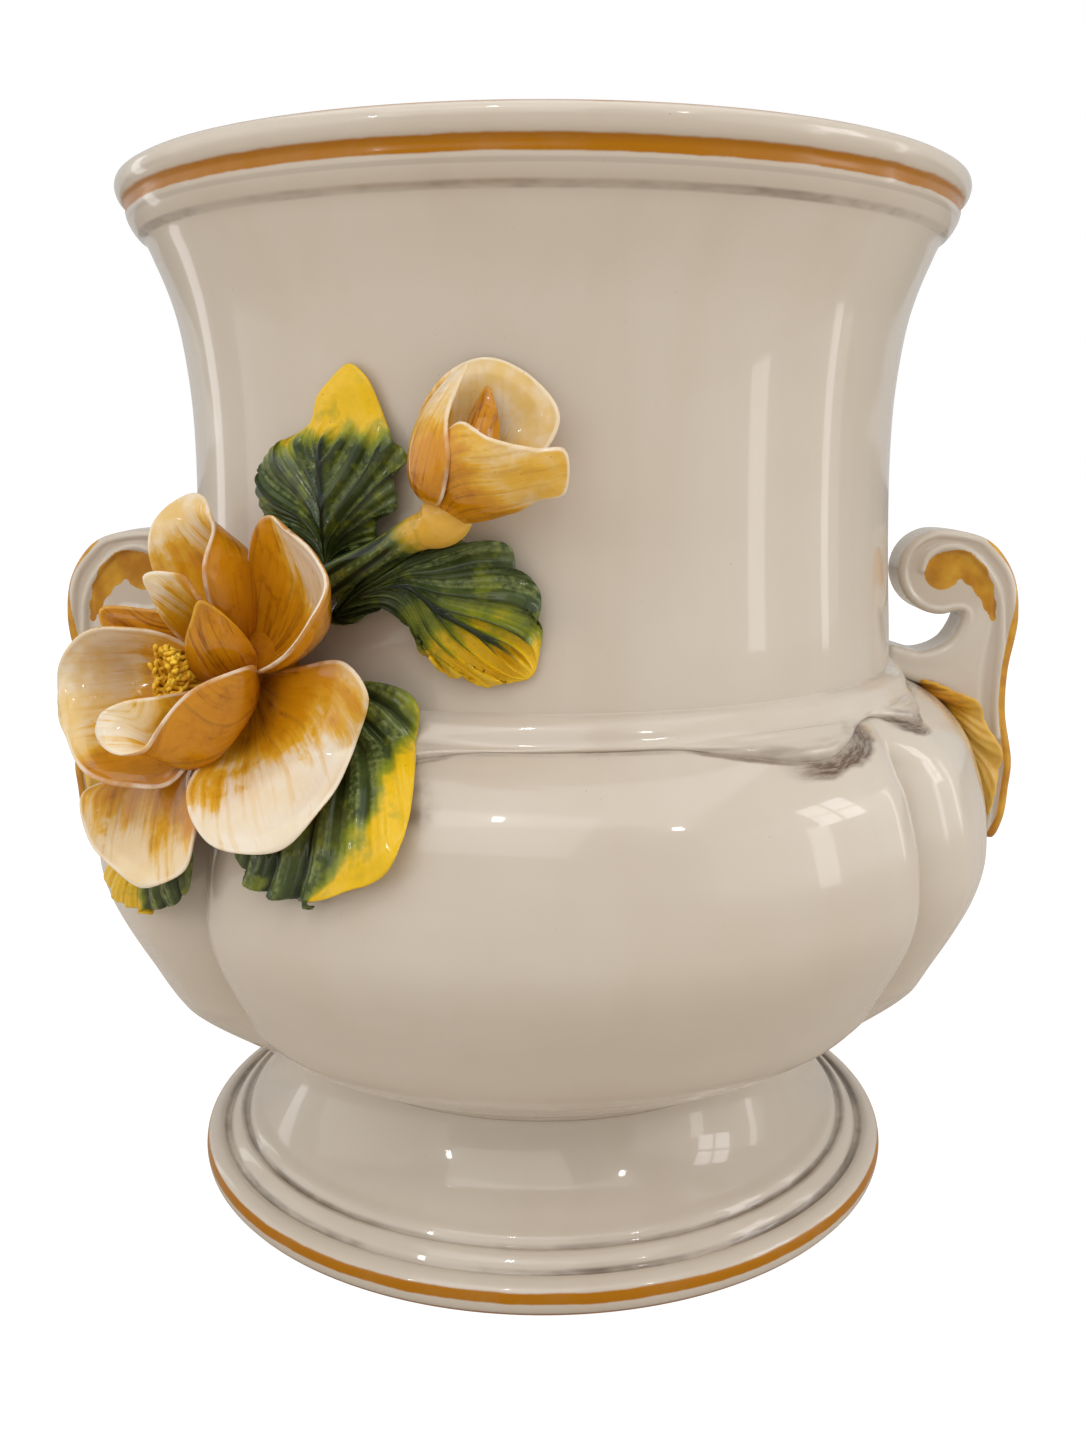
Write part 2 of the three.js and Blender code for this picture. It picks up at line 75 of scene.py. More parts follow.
def smooth_step(low: float, high: float, x: np.ndarray) -> np.ndarray:
    """0 below low, 1 above high, and a smooth rise between."""
    t = np.clip((x - low) / (high - low), 0.0, 1.0)
    return t * t * (3.0 - 2.0 * t)


def spline(points: Sequence[Point], samples: int, closed: bool = False) -> np.ndarray:
    """A smooth curve through the points, evenly spaced along its length.

    Args:
        points: The points to pass through.
        samples: How many points the result has.
        closed: True if the curve returns to its first point.

    Returns:
        An array of samples rows.
    """
    p = np.asarray(points, float)
    if closed:
        p = np.vstack([p[-1], p, p[0], p[1]])
    else:
        p = np.vstack([2 * p[0] - p[1], p, 2 * p[-1] - p[-2]])
    knots = np.concatenate([[0.0], np.cumsum(np.sqrt(np.linalg.norm(np.diff(p, axis=0), axis=1)) + 1e-9)])
    fine = []
    for i in range(1, len(p) - 2):
        t = np.linspace(knots[i], knots[i + 1], STEPS_BETWEEN_POINTS, endpoint=False)[:, None]
        t0, t1, t2, t3 = knots[i - 1 : i + 3]
        a1 = (t1 - t) / (t1 - t0) * p[i - 1] + (t - t0) / (t1 - t0) * p[i]
        a2 = (t2 - t) / (t2 - t1) * p[i] + (t - t1) / (t2 - t1) * p[i + 1]
        a3 = (t3 - t) / (t3 - t2) * p[i + 1] + (t - t2) / (t3 - t2) * p[i + 2]
        b1 = (t2 - t) / (t2 - t0) * a1 + (t - t0) / (t2 - t0) * a2
        b2 = (t3 - t) / (t3 - t1) * a2 + (t - t1) / (t3 - t1) * a3
        fine.append((t2 - t) / (t2 - t1) * b1 + (t - t1) / (t2 - t1) * b2)
    return evenly(np.vstack([*fine, p[-2]]), samples)


def length_along(curve: np.ndarray) -> np.ndarray:
    """How far along the curve each of its points lies."""
    return np.concatenate([[0.0], np.cumsum(np.linalg.norm(np.diff(curve, axis=0), axis=1))])


def evenly(curve: np.ndarray, samples: int) -> np.ndarray:
    """The curve with this many points, evenly spaced along it.

    Args:
        curve: The points of the curve.
        samples: How many points the result has.

    Returns:
        An array of samples rows.
    """
    run = length_along(curve)
    wanted = np.linspace(0.0, run[-1], samples)
    return np.stack([np.interp(wanted, run, curve[:, k]) for k in range(curve.shape[1])], axis=1)


def distance_to(points: np.ndarray, line: np.ndarray) -> np.ndarray:
    """Distance of each point, flat or in space, from a line of short straight steps.

    Args:
        points: One row for each point.
        line: The ends of the line's steps, in order.

    Returns:
        One distance for each point.
    """
    best = np.full(len(points), np.inf)
    for a, b in zip(line[:-1], line[1:]):
        step = b - a
        share = np.clip(((points - a) @ step) / (step @ step + 1e-12), 0, 1)
        best = np.minimum(best, np.linalg.norm(points - a - share[:, None] * step, axis=1))
    return best


def mesh_object(
    name: str,
    points: np.ndarray,
    faces: list[tuple[int, ...]],
    uv: np.ndarray | None = None,
    marks: dict[str, np.ndarray] | None = None,
) -> bpy.types.Object:
    """A smooth-shaded object from points in millimetres.

    Args:
        name: The object's name.
        points: One row for each vertex.
        faces: Vertex numbers of each face.
        uv: Two numbers for each vertex, which the glazes read, or None.
        marks: One more number for each vertex under each name, or None.

    Returns:
        The object, linked into the scene, with its faces pointing out.
    """
    mesh = bpy.data.meshes.new(name)
    mesh.from_pydata((np.asarray(points, float) * MM).tolist(), [], faces)
    if uv is not None:
        layer = mesh.uv_layers.new(name="UVMap")
        corners = np.empty(len(mesh.loops), dtype=np.int32)
        mesh.loops.foreach_get("vertex_index", corners)
        layer.data.foreach_set("uv", np.asarray(uv, np.float32)[corners].ravel())
    for key, values in (marks or {}).items():
        mesh.attributes.new(key, "FLOAT", "POINT").data.foreach_set("value", np.asarray(values, np.float32))
    tidy_mesh(mesh)
    thing = bpy.data.objects.new(name, mesh)
    bpy.context.scene.collection.objects.link(thing)
    return thing


def tidy_mesh(mesh: bpy.types.Mesh) -> None:
    """Welds doubled vertices, drops empty faces, turns all faces out and shades them smooth.

    Args:
        mesh: The mesh to change.
    """
    work = bmesh.new()
    work.from_mesh(mesh)
    bmesh.ops.remove_doubles(work, verts=work.verts, dist=1e-6)
    bmesh.ops.dissolve_degenerate(work, edges=work.edges, dist=1e-7)
    bmesh.ops.recalc_face_normals(work, faces=work.faces)
    work.to_mesh(mesh)
    work.free()
    mesh.polygons.foreach_set("use_smooth", [True] * len(mesh.polygons))
    mesh.update()


def loop_faces(rows: int, columns: int, wrap_rows: bool, wrap_columns: bool) -> list[tuple[int, ...]]:
    """Four-sided faces of a grid of points, which may close on itself either way.

    Args:
        rows: Points of the grid one way.
        columns: Points of the grid the other way.
        wrap_rows: True if the last row meets the first.
        wrap_columns: True if the last column meets the first.

    Returns:
        The numbers of each face's corners.
    """
    faces = []
    for i in range(rows if wrap_rows else rows - 1):
        for j in range(columns if wrap_columns else columns - 1):
            k, n = (i + 1) % rows, (j + 1) % columns
            faces.append((i * columns + j, i * columns + n, k * columns + n, k * columns + j))
    return faces


def remeshed(piece: bpy.types.Object, grain: float) -> bpy.types.Object:
    """The piece made anew of small even faces, grain millimetres wide, which can be modelled.

    Args:
        piece: The object, whose mesh is replaced.
        grain: Width of a face in millimetres.

    Returns:
        The same object.
    """
    change = piece.modifiers.new("grain", "REMESH")
    change.mode = "VOXEL"
    change.voxel_size = grain * MM
    change.use_smooth_shade = True
    graph = bpy.context.evaluated_depsgraph_get()
    mesh = bpy.data.meshes.new_from_object(piece.evaluated_get(graph))
    piece.modifiers.clear()
    piece.data = mesh
    return piece


def bar(path: np.ndarray, radius: np.ndarray | float, sides: int) -> tuple[np.ndarray, list[tuple[int, ...]]]:
    """A round bar along a path.

    Args:
        path: The points of its middle.
        radius: One radius, or one for each point.
        sides: Sides of its section.

    Returns:
        Its points and faces, with both ends closed.
    """
    ahead = np.gradient(path, axis=0)
    ahead /= np.linalg.norm(ahead, axis=1, keepdims=True)
    aside = np.cross(ahead, (0.123, 0.321, 0.94))
    aside /= np.linalg.norm(aside, axis=1, keepdims=True)
    over = np.cross(ahead, aside)
    turn = np.linspace(0, 2 * np.pi, sides, endpoint=False)
    r = np.broadcast_to(radius, (len(path),))[:, None, None]
    spoke = aside[:, None] * np.cos(turn)[None, :, None] + over[:, None] * np.sin(turn)[None, :, None]
    ring = path[:, None] + r * spoke
    faces = loop_faces(len(path), sides, False, True)
    faces.append(tuple(range(sides)))
    faces.append(tuple(range(len(path) * sides - 1, (len(path) - 1) * sides - 1, -1)))
    return ring.reshape(-1, 3), faces


def turned(
    name: str,
    profile: np.ndarray,
    shift: Callable[[np.ndarray, np.ndarray], np.ndarray],
    angles: np.ndarray | None = None,
) -> bpy.types.Object:
    """A solid turned about the pot's axis.

    Args:
        name: The object's name.
        profile: Radius and height of each point of a closed outline.
        shift: Gives how far a point moves out, from its angle in degrees and its height.
        angles: Steps round the axis in degrees, or None for one at each degree.

    Returns:
        The object. Its UV holds the turn round the pot and the way along the outline.
    """
    angles = np.arange(360.0) if angles is None else angles
    a, r = np.meshgrid(angles, profile[:, 0], indexing="ij")
    _, z = np.meshgrid(angles, profile[:, 1], indexing="ij")
    r = np.where(r > 0.001, r + shift(a, z), r)
    turn = np.radians(a)
    points = np.stack([r * np.sin(turn), -r * np.cos(turn), z], axis=-1).reshape(-1, 3)
    _, way = np.meshgrid(angles, np.linspace(0, 1, len(profile)), indexing="ij")
    uv = np.stack([a / 360.0, way], axis=-1).reshape(-1, 2)
    return mesh_object(name, points, loop_faces(len(angles), len(profile), True, True), uv)


# The pot's outline, shared by what is laid on it


def swell(rows: Sequence[Point], narrow: float, wide: float, bottom: float, height: float) -> Outline:
    """Radius and height of points given as shares of the way out and of the way up."""
    return [(narrow + out * (wide - narrow), bottom + up * height) for out, up in rows]


@dataclass(frozen=True)
class Swag:
    """A fold of the seam's coil over the belly's shoulder, steep towards its crease and slow away from it."""

    crease: float
    way: int
    middle: float
    reach: float
    sag: float

    def beyond(self, angle: Any) -> Any:
        """Degrees from the crease, on the fold's side of it."""
        return (angle - self.crease) * self.way

    def hang(self, angle: np.ndarray) -> np.ndarray:
        """How far down the fold reaches at an angle, from 0 to 1."""
        beyond = np.mod(self.beyond(angle) + 180, 360) - 180
        return smooth_step(0.5, self.middle, beyond) * smooth_step(self.reach, self.middle, beyond)


@dataclass(frozen=True)
class PotForm:
    """Driving sizes of the pot, in millimetres and degrees, and the curves that follow from them."""

    rim_radius: float = 150.0
    neck_waist: float = 123.5
    neck_height: float = 173.0
    lip_height: float = 12.0
    belly_radius: float = 157.0
    belly_height: float = 127.0
    waist_radius: float = 88.0
    foot_radius: float = 122.0
    foot_height: float = 41.0
    wall: float = 8.0
    lobe_turn: float = 4.0
    front_lobe_half: float = 46.5
    crease_depth: float = 11.0
    crease_half_angle: float = 9.0
    fan_half_angle: float = 46.0
    fan_height: float = 36.0

    @property
    def neck_bottom(self) -> float:
        """Height of the seam between belly and neck."""
        return self.foot_height + self.belly_height

    @property
    def height(self) -> float:
        """Height of the whole pot."""
        return self.neck_bottom + self.neck_height

    @property
    def creases(self) -> tuple[float, ...]:
        """Angles of the four creases between the lobes."""
        turn, half = self.lobe_turn, self.front_lobe_half
        return (turn - half, turn + half, turn + 180 - half, turn + 180 + half)

    @property
    def swags(self) -> tuple[Swag, ...]:
        """Two folds by each crease: a deep one on the front or back lobe, a small one beyond."""
        folds = []
        for i, crease in enumerate(self.creases):
            angle = (crease + 180) % 360 - 180
            way = -1 if i % 2 else 1
            folds += [Swag(angle, way, 16.0, 37.0, 11.0), Swag(angle, -way, 8.0, 22.0, 7.5)]
        return tuple(folds)

    def foot_outline(self) -> Outline:
        """Radius and height of the foot, from the floor up to the waist.

        Returns:
            The points, from the foot's edge inwards and up.
        """
        r, w, h = self.foot_radius, self.waist_radius, self.foot_height
        flange = [(r - 1.8, 0), (r - 0.4, 1.8), (r, 4.6), (r - 0.9, 7.6), (r - 4, 9.4), (r - 5.8, 9.2)]
        grooves = [(r - 7.4, 8.2), (r - 9.2, 10.6), (r - 11, 12.3), (r - 12.5, 12.9), (r - 14, 12.2),
                   (r - 16, 14.8)]
        sweep = [(w + 14, h - 23.5), (w + 7.5, h - 17), (w + 2.8, h - 9.5), (w + 0.5, h - 3), (w, h)]
        return flange + grooves + sweep

    def belly_outline(self) -> Outline:
        """Radius and height of the belly on a lobe, from the waist up to the seam.

        Returns:
            The points, in order up the belly.
        """
        lower = [(0, 0), (0.1, 0.04), (0.26, 0.08), (0.48, 0.146), (0.66, 0.22), (0.8, 0.335),
                 (0.9, 0.425), (0.96, 0.49), (0.993, 0.55), (1, 0.615)]
        upper = [(0.985, 0.69), (0.93, 0.76), (0.82, 0.85), (0.62, 0.92), (0.38, 0.965), (0.08, 1)]
        h = self.belly_height
        return (swell(lower, self.waist_radius, self.belly_radius, self.foot_height, h)
                + swell(upper, self.neck_waist, self.belly_radius, self.foot_height, h))

    def neck_outline(self) -> Outline:
        """Radius and height of the neck, from the seam up to the lip.

        Returns:
            The points, in order up the neck.
        """
        r, top = self.rim_radius, self.height
        bead = top - self.lip_height
        flare = [(0.02, 0), (0.02, 0.1), (0, 0.26), (0.015, 0.46), (0.075, 0.584), (0.215, 0.711),
                 (0.34, 0.775), (0.51, 0.838)]
        rim = [(r - 9.5, bead - 9), (r - 7.6, bead - 7.6), (r - 5.2, bead - 4.5), (r - 3.6, bead - 0.8),
               (r - 3.4, bead + 2.4), (r - 1.2, bead + 4.6), (r, bead + 8), (r - 0.6, bead + 10.6),
               (r - 2.6, top)]
        return swell(flare, self.neck_waist, r, self.neck_bottom, self.neck_height) + rim

    def wall_radius(self, height: float) -> float:
        """Radius of the outside at a height, between the creases.

        Args:
            height: Height above the floor.

        Returns:
            The radius, in millimetres.
        """
        rows = self.foot_outline() + self.belly_outline()[1:-1] + self.neck_outline()
        radii, heights = zip(*rows)
        above = next((i for i, z in enumerate(heights) if z >= height), len(rows) - 1)
        i = max(above, 1)
        span = heights[i] - heights[i - 1]
        share = 1.0 if span == 0 else (height - heights[i - 1]) / span
        return radii[i - 1] + (radii[i] - radii[i - 1]) * share

    def crease(self, angle: np.ndarray, height: np.ndarray) -> np.ndarray:
        """How far a crease cuts in. By the waist it opens into a shallow fan.

        Args:
            angle: Degrees round the pot.
            height: Height above the floor.

        Returns:
            The depth at each point, in millimetres.
        """
        offset = np.min([np.abs(np.mod(angle - c + 180, 360) - 180) for c in self.creases], axis=0)
        fan = np.clip((self.foot_height + self.fan_height - height) / self.fan_height, 0, 1)
        half = self.crease_half_angle + (self.fan_half_angle - self.crease_half_angle) * fan**1.1
        share = np.clip((height - self.foot_height) / self.belly_height, 0, 1)
        depth = self.crease_depth * np.minimum(1, 3.2 * share) * np.minimum(1, 8 * (1 - share))
        return depth * np.clip(1 - offset / half, 0, None) ** (2 - 0.7 * fan)

    def columns(self) -> np.ndarray:
        """Angles round the pot at which the belly and its coil are built, closer together by the creases."""
        close = [np.arange(c - 20.0, c + 20.0, 0.25) for c in self.creases]
        return np.unique(np.mod(np.concatenate([np.arange(0.0, 360.0, 1.0), *close]), 360.0))

    def folds(self, angle: np.ndarray) -> tuple[np.ndarray, np.ndarray]:
        """How much the coil hangs over at an angle, from 0 to 1, and how far along the shoulder it does.

        Args:
            angle: Degrees round the pot.

        Returns:
            The share and the reach, in millimetres, at each angle.
        """
        hangs = [swag.hang(angle) for swag in self.swags]
        reaches = [swag.sag * hang for swag, hang in zip(self.swags, hangs)]
        return np.max(hangs, axis=0), np.max(reaches, axis=0)


@dataclass(frozen=True)
class Seat:
    """A place on the wall. Points are degrees round from it, millimetres up, and out from the wall there."""

    form: PotForm
    angle: float
    height: float

    def at(self, point: Point) -> tuple[float, float, float]:
        """The point in the pot's own frame.

        Args:
            point: Degrees round, millimetres up and millimetres out.

        Returns:
            X, Y and Z in millimetres.
        """
        round_by, up, out = point
        height = self.height + up
        reach = self.form.wall_radius(height) + out
        turn = math.radians(self.angle + round_by)
        return (reach * math.sin(turn), -reach * math.cos(turn), height)


# Shader maths


class Socket:
    """A shader socket that takes part in Python expressions."""

    def __init__(self, finish: "NodeTree", link: Any) -> None:
        """Wraps an output socket of the finish's node tree."""
        self.finish = finish
        self.link = link

    def _math(self, operation: str, *values: Any) -> "Socket":
        """A Math node on these values."""
        return self.finish.node("ShaderNodeMath", {"operation": operation}, dict(enumerate(values)))

    def __add__(self, other: Any) -> "Socket":
        """self + other."""
        return self._math("ADD", self, other)

    def __sub__(self, other: Any) -> "Socket":
        """self - other."""
        return self._math("SUBTRACT", self, other)

    def __mul__(self, other: Any) -> "Socket":
        """self * other."""
        return self._math("MULTIPLY", self, other)

    def __pow__(self, other: Any) -> "Socket":
        """self to a power."""
        return self._math("POWER", self, other)

    def __radd__(self, other: Any) -> "Socket":
        """other + self."""
        return self._math("ADD", other, self)

    def __rsub__(self, other: Any) -> "Socket":
        """other - self."""
        return self._math("SUBTRACT", other, self)

    def __abs__(self) -> "Socket":
        """The size of self, without its sign."""
        return self._math("ABSOLUTE", self)

    def highest(self, other: Any) -> "Socket":
        """The larger of the two."""
        return self._math("MAXIMUM", self, other)

    def lowest(self, other: Any) -> "Socket":
        """The smaller of the two."""
        return self._math("MINIMUM", self, other)

    def rise(self, low: float, high: float) -> "Socket":
        """0 below low, 1 above high, smooth between. It falls where low is above high.

        Args:
            low: Where the rise starts.
            high: Where it ends.

        Returns:
            The risen value.
        """
        if low > high:
            return 1 - self.rise(high, low)
        settings = {"interpolation_type": "SMOOTHSTEP"}
        values = {"Value": self, "From Min": low, "From Max": high}
        return self.finish.node("ShaderNodeMapRange", settings, values)

    def band(self, centre: float, half: float, soft: float) -> "Socket":
        """1 within half of centre, falling to 0 over soft."""
        return abs(self - centre).rise(half + soft, half)


class NodeTree:
    """A tree of shader nodes, built by expressions."""

    def __init__(self, tree: bpy.types.NodeTree) -> None:
        """Starts from an empty tree."""
        self.tree = tree
        self.tree.nodes.clear()

    def node(self, kind: str, settings: dict[str, Any], inputs: dict[Any, Any], out: Any = 0) -> Socket:
        """Adds a node.

        Args:
            kind: The node's type.
            settings: Properties, set first.
            inputs: A value or a link for each named or numbered socket.
            out: Name or number of the socket to return.

        Returns:
            The wrapped output socket.
        """
        made = self.tree.nodes.new(kind)
        for key, value in settings.items():
            setattr(made, key, value)
        for key, value in inputs.items():
            self.feed(made.inputs[key], value)
        return Socket(self, made.outputs[out])

    def feed(self, target: Any, value: Any) -> None:
        """Links or sets one input socket.

        Args:
            target: The input socket.
            value: A wrapped socket, a colour or a number.
        """
        if isinstance(value, Socket):
            self.tree.links.new(value.link, target)
        elif isinstance(value, tuple) and target.type == "RGBA":
            target.default_value = (*value, 1.0)
        else:
            target.default_value = value

    def mix(self, factor: Any, first: Any, second: Any) -> Socket:
        """First where factor is 0, second where it is 1, for colours."""
        return self.node("ShaderNodeMix", {"data_type": "RGBA"}, {0: factor, 6: first, 7: second}, 2)

    def split(self, vector: Socket) -> tuple[Socket, Socket, Socket]:
        """The three numbers of a vector.

        Args:
            vector: The vector.

        Returns:
            Its X, Y and Z.
        """
        made = self.tree.nodes.new("ShaderNodeSeparateXYZ")
        self.feed(made.inputs[0], vector)
        return tuple(Socket(self, made.outputs[k]) for k in range(3))

    def join(self, x: Any, y: Any, z: Any) -> Socket:
        """A vector of three numbers."""
        return self.node("ShaderNodeCombineXYZ", {}, {0: x, 1: y, 2: z})

    def glow(self, kind: str, colour: Colour, strength: float) -> Socket:
        """An Emission or Background of one colour."""
        return self.node(kind, {}, {"Color": colour, "Strength": strength})

    def blend(self, factor: Any, first: Socket, second: Socket) -> Socket:
        """First where factor is 0, second where it is 1, for shaders."""
        return self.node("ShaderNodeMixShader", {}, {0: factor, 1: first, 2: second})

    def seen_by_camera(self) -> Socket:
        """1 for rays that come straight from the camera."""
        return self.node("ShaderNodeLightPath", {}, {}, "Is Camera Ray")


class Shader(NodeTree):
    """A material's node tree with one Principled BSDF."""

    def __init__(self, name: str) -> None:
        """Starts an empty material.

        Args:
            name: The material's name.
        """
        self.material = bpy.data.materials.new(name)
        self.material.use_nodes = True
        super().__init__(self.material.node_tree)
        self.surface = self.tree.nodes.new("ShaderNodeBsdfPrincipled")
        self.output = self.tree.nodes.new("ShaderNodeOutputMaterial")
        self.tree.links.new(self.surface.outputs[0], self.output.inputs[0])

    def place(self) -> Socket:
        """Position on the object, in metres."""
        return self.node("ShaderNodeTexCoord", {}, {}, "Object")

    def mark(self, name: str) -> Socket:
        """A number that the mesh holds at each of its points."""
        return self.node("ShaderNodeAttribute", {"attribute_name": name}, {}, "Fac")

    def noise(self, vector: Socket, scale: float, detail: float = 3.0, rough: float = 0.5) -> Socket:
        """Soft noise, from 0 to 1 about a mean of 0.5."""
        values = {"Vector": vector, "Scale": scale, "Detail": detail, "Roughness": rough}
        return self.node("ShaderNodeTexNoise", {}, values)

    def specks(self, vector: Socket, scale: float, size: float) -> Socket:
        """Small round spots, 1 at their middles."""
        spots = self.node("ShaderNodeTexVoronoi", {}, {"Vector": vector, "Scale": scale}, "Distance")
        return spots.rise(size, size * 0.4)

    def bump(self, height: Socket, depth: float, strength: float = 1.0) -> None:
        """Roughens the surface's normal by a height, depth metres from 0 to 1."""
        values = {"Strength": strength, "Distance": depth, "Height": height}
        self.feed(self.surface.inputs["Normal"], self.node("ShaderNodeBump", {}, values))

    def set(self, **values: Any) -> None:
        """Sets sockets of the surface, with _ for the spaces in their names."""
        for key, value in values.items():
            self.feed(self.surface.inputs[key.replace("_", " ")], value)


@dataclass(frozen=True)
class Gloss:
    """What every glaze of the pot shares."""

    roughness: float = 0.22
    coat: float = 0.75
    coat_roughness: float = 0.04
    ripple: float = 0.00025
    shine: float = 0.2

    def apply(self, s: Shader, colour: Socket, dull: Socket | float = 0.0) -> None:
        """Gives a shader this gloss over a colour, less of it where the colour lies dull on the glaze.

        Args:
            s: The shader.
            colour: Its colour.
            dull: How dull the colour lies, from 0 with the whole coat to 1 with none.
        """
        place = s.place()
        wave = s.noise(place, 45.0, 2.0)
        rough = s.noise(place, 160.0, 2.0) * 0.06 + (self.roughness - 0.03)
        coat = (1 - dull) * self.coat
        s.set(Base_Color=colour, Roughness=rough, Coat_Weight=coat, Coat_Roughness=self.coat_roughness,
              Specular_IOR_Level=self.shine)
        s.bump(wave, self.ripple, 0.35)


IVORY: Colour = (0.61, 0.54, 0.455)
WARM: Colour = (0.48, 0.385, 0.29)
# Dark brown of the specks and stains; the pot's glaze also uses it as painted shade in its grooves, creases
# and under the coil's folds.
STAIN_AND_SHADE: Colour = (0.098, 0.052, 0.026)
LINE_OCHRE: Colour = (0.40, 0.15, 0.0)
PETAL_OCHRE: Colour = (0.56, 0.215, 0.001)
AMBER: Colour = (0.24, 0.060, 0.001)
CREAM: Colour = (0.80, 0.71, 0.58)
GILT: Colour = (0.74, 0.50, 0.15)
HONEY: Colour = (0.72, 0.40, 0.03)


@dataclass(frozen=True)
class Spot:
    """Where on the pot a glaze is: in metres as the mesh has it, and in millimetres up and out."""

    x: Socket
    y: Socket
    z: Socket
    height: Socket
    radius: Socket

    @classmethod
    def of(cls, s: Shader, place: Socket) -> "Spot":
        """The spot of a position."""
        x, y, z = s.split(place)
        return cls(x, y, z, z * (1 / MM), ((x * x + y * y) ** 0.5) * (1 / MM))


@dataclass(frozen=True)
class IvoryGlaze:
    """Ivory glaze of the pot, with its ochre lines, and stain and painted shade in its hollows."""

    form: PotForm
    gloss: Gloss = Gloss()

    def make(self) -> bpy.types.Material:
        """The material.

        Returns:
            The material, with its nodes.
        """
        s = Shader("ivory_glaze")
        place = s.place()
        spot = Spot.of(s, place)
        fine = s.noise(place, 60.0, 5.0, 0.6)
        # The hollows are darkened towards the stain's brown: partly stain, partly painted shade.
        colour = s.mix(self._stain_and_shade(s, spot, fine), self.body(s, place), STAIN_AND_SHADE)
        lines = self._lines(spot, fine)
        self.gloss.apply(s, s.mix(lines, colour, LINE_OCHRE), lines * 0.9)
        return s.material

    @staticmethod
    def body(s: Shader, place: Socket) -> Socket:
        """The clouded ivory itself, with fine streaks and specks.

        Args:
            s: The shader it is part of.
            place: Position on the object, in metres.

        Returns:
            The colour.
        """
        x, y, z = s.split(place)
        cloud = s.noise(place, 9.0, 4.0, 0.6)
        colour = s.mix((cloud - 0.38) * 0.8, IVORY, WARM)
        streak = s.noise(s.join(x * 30.0, y * 30.0, z * 2.2), 1.0, 3.0, 0.6)
        colour = s.mix(streak.rise(0.42, 0.75) * 0.16, colour, WARM)
        colour = s.mix(s.specks(place, 150.0, 0.055) * 0.4, colour, WARM)
        return s.mix(s.specks(place, 95.0, 0.022) * 0.6, colour, STAIN_AND_SHADE)

    def _lines(self, spot: Spot, fine: Socket) -> Socket:
        """Ochre lines on the rim, the lip and the foot's edge.

        Args:
            spot: Where on the pot the glaze is.
            fine: Fine noise that unsettles the edges.

        Returns:
            How much of the line's colour there is, from 0 to about 1.
        """
        top, rim_radius, foot_radius = self.form.height, self.form.rim_radius, self.form.foot_radius
        waver = (fine - 0.5) * 1.2
        outside = spot.radius.rise(rim_radius - 9.5, rim_radius - 7.5)
        on_foot = spot.radius.rise(foot_radius - 4, foot_radius - 2)
        rim = (spot.height + waver).band(top - 10.7, 1.9, 0.8) * outside
        lip = (spot.height + waver).band(top + 0.3, 0.5, 0.4) * outside * 0.65
        foot = (spot.height + waver).band(5.6, 1.2, 0.6) * on_foot
        sole = (spot.height + waver * 0.5).band(0.4, 0.4, 0.4) * on_foot * 0.8
        return rim.highest(foot).highest(sole).highest(lip) * (0.86 + fine * 0.28)

    def _stain_and_shade(self, s: Shader, spot: Spot, fine: Socket) -> Socket:
        """Brown-grey stain and painted shade in the grooves and creases, under the coil's folds and by the
        spray.

        Args:
            s: The shader it is part of.
            spot: Where on the pot the glaze is.
            fine: Fine noise that unsettles the edges.

        Returns:
            How much stain and painted shade there is, from 0 to 1.
        """
        height, radius = spot.height, spot.radius
        seam, top, foot = self.form.neck_bottom, self.form.height, self.form.foot_radius
        patch = s.noise(s.join(spot.x * 30.0, spot.y * 30.0, spot.z * 8.0), 1.0, 4.0, 0.65).rise(0.38, 0.66)
        worn = s.noise(s.join(spot.x * 16.0, spot.y * 16.0, spot.z * 60.0), 1.0, 4.0, 0.7).rise(0.40, 0.68)
        # Lines in the foot's grooves, by the rim's bead, and under and over the coil: stain with painted
        # shade.
        inner_groove = height.band(11.9, 0.6, 1.0) * radius.band(foot - 14.1, 1.6, 1.2) * (0.15 + worn * 0.7)
        outer_groove = height.band(8.4, 0.5, 1.0) * radius.band(foot - 7.9, 1.4, 1.4) * (0.1 + worn * 0.75)
        bead = height.band(top - 20.5, 0.6, 0.9) * (0.15 + worn * 0.55)
        notch = height.band(top - 15.0, 0.4, 0.6) * 0.2
        under = (height + fine).band(seam - 2.0, 0.2, 0.6) * (0.05 + patch * 0.3)
        over = (height + fine * 2.0).band(seam + 8.0, 0.1, 0.6) * worn * 0.3
        lines = inner_groove.highest(outer_groove).highest(bead).highest(notch).highest(under).highest(over)
        around = s.node("ShaderNodeMath", {"operation": "ARCTAN2"}, {0: spot.x, 1: 0 - spot.y})
        turn = around * (180.0 / math.pi)
        below = seam - 1.9 - height + (fine - 0.5) * 2.4
        for swag in self.form.swags:
            lines = lines.highest(self._stain_and_shade_by_fold(s, swag, turn, below, worn, fine))
        # A patch on the shoulder by the spray, partly stain and partly painted shade.
        shade_and_smudge = (turn + (fine - 0.5) * 8.0).band(-17.5, 2.5, 4.0) * below.band(8.0, 6.0, 6.0)
        return lines.highest(shade_and_smudge * (0.1 + patch * 0.65)) * 0.92

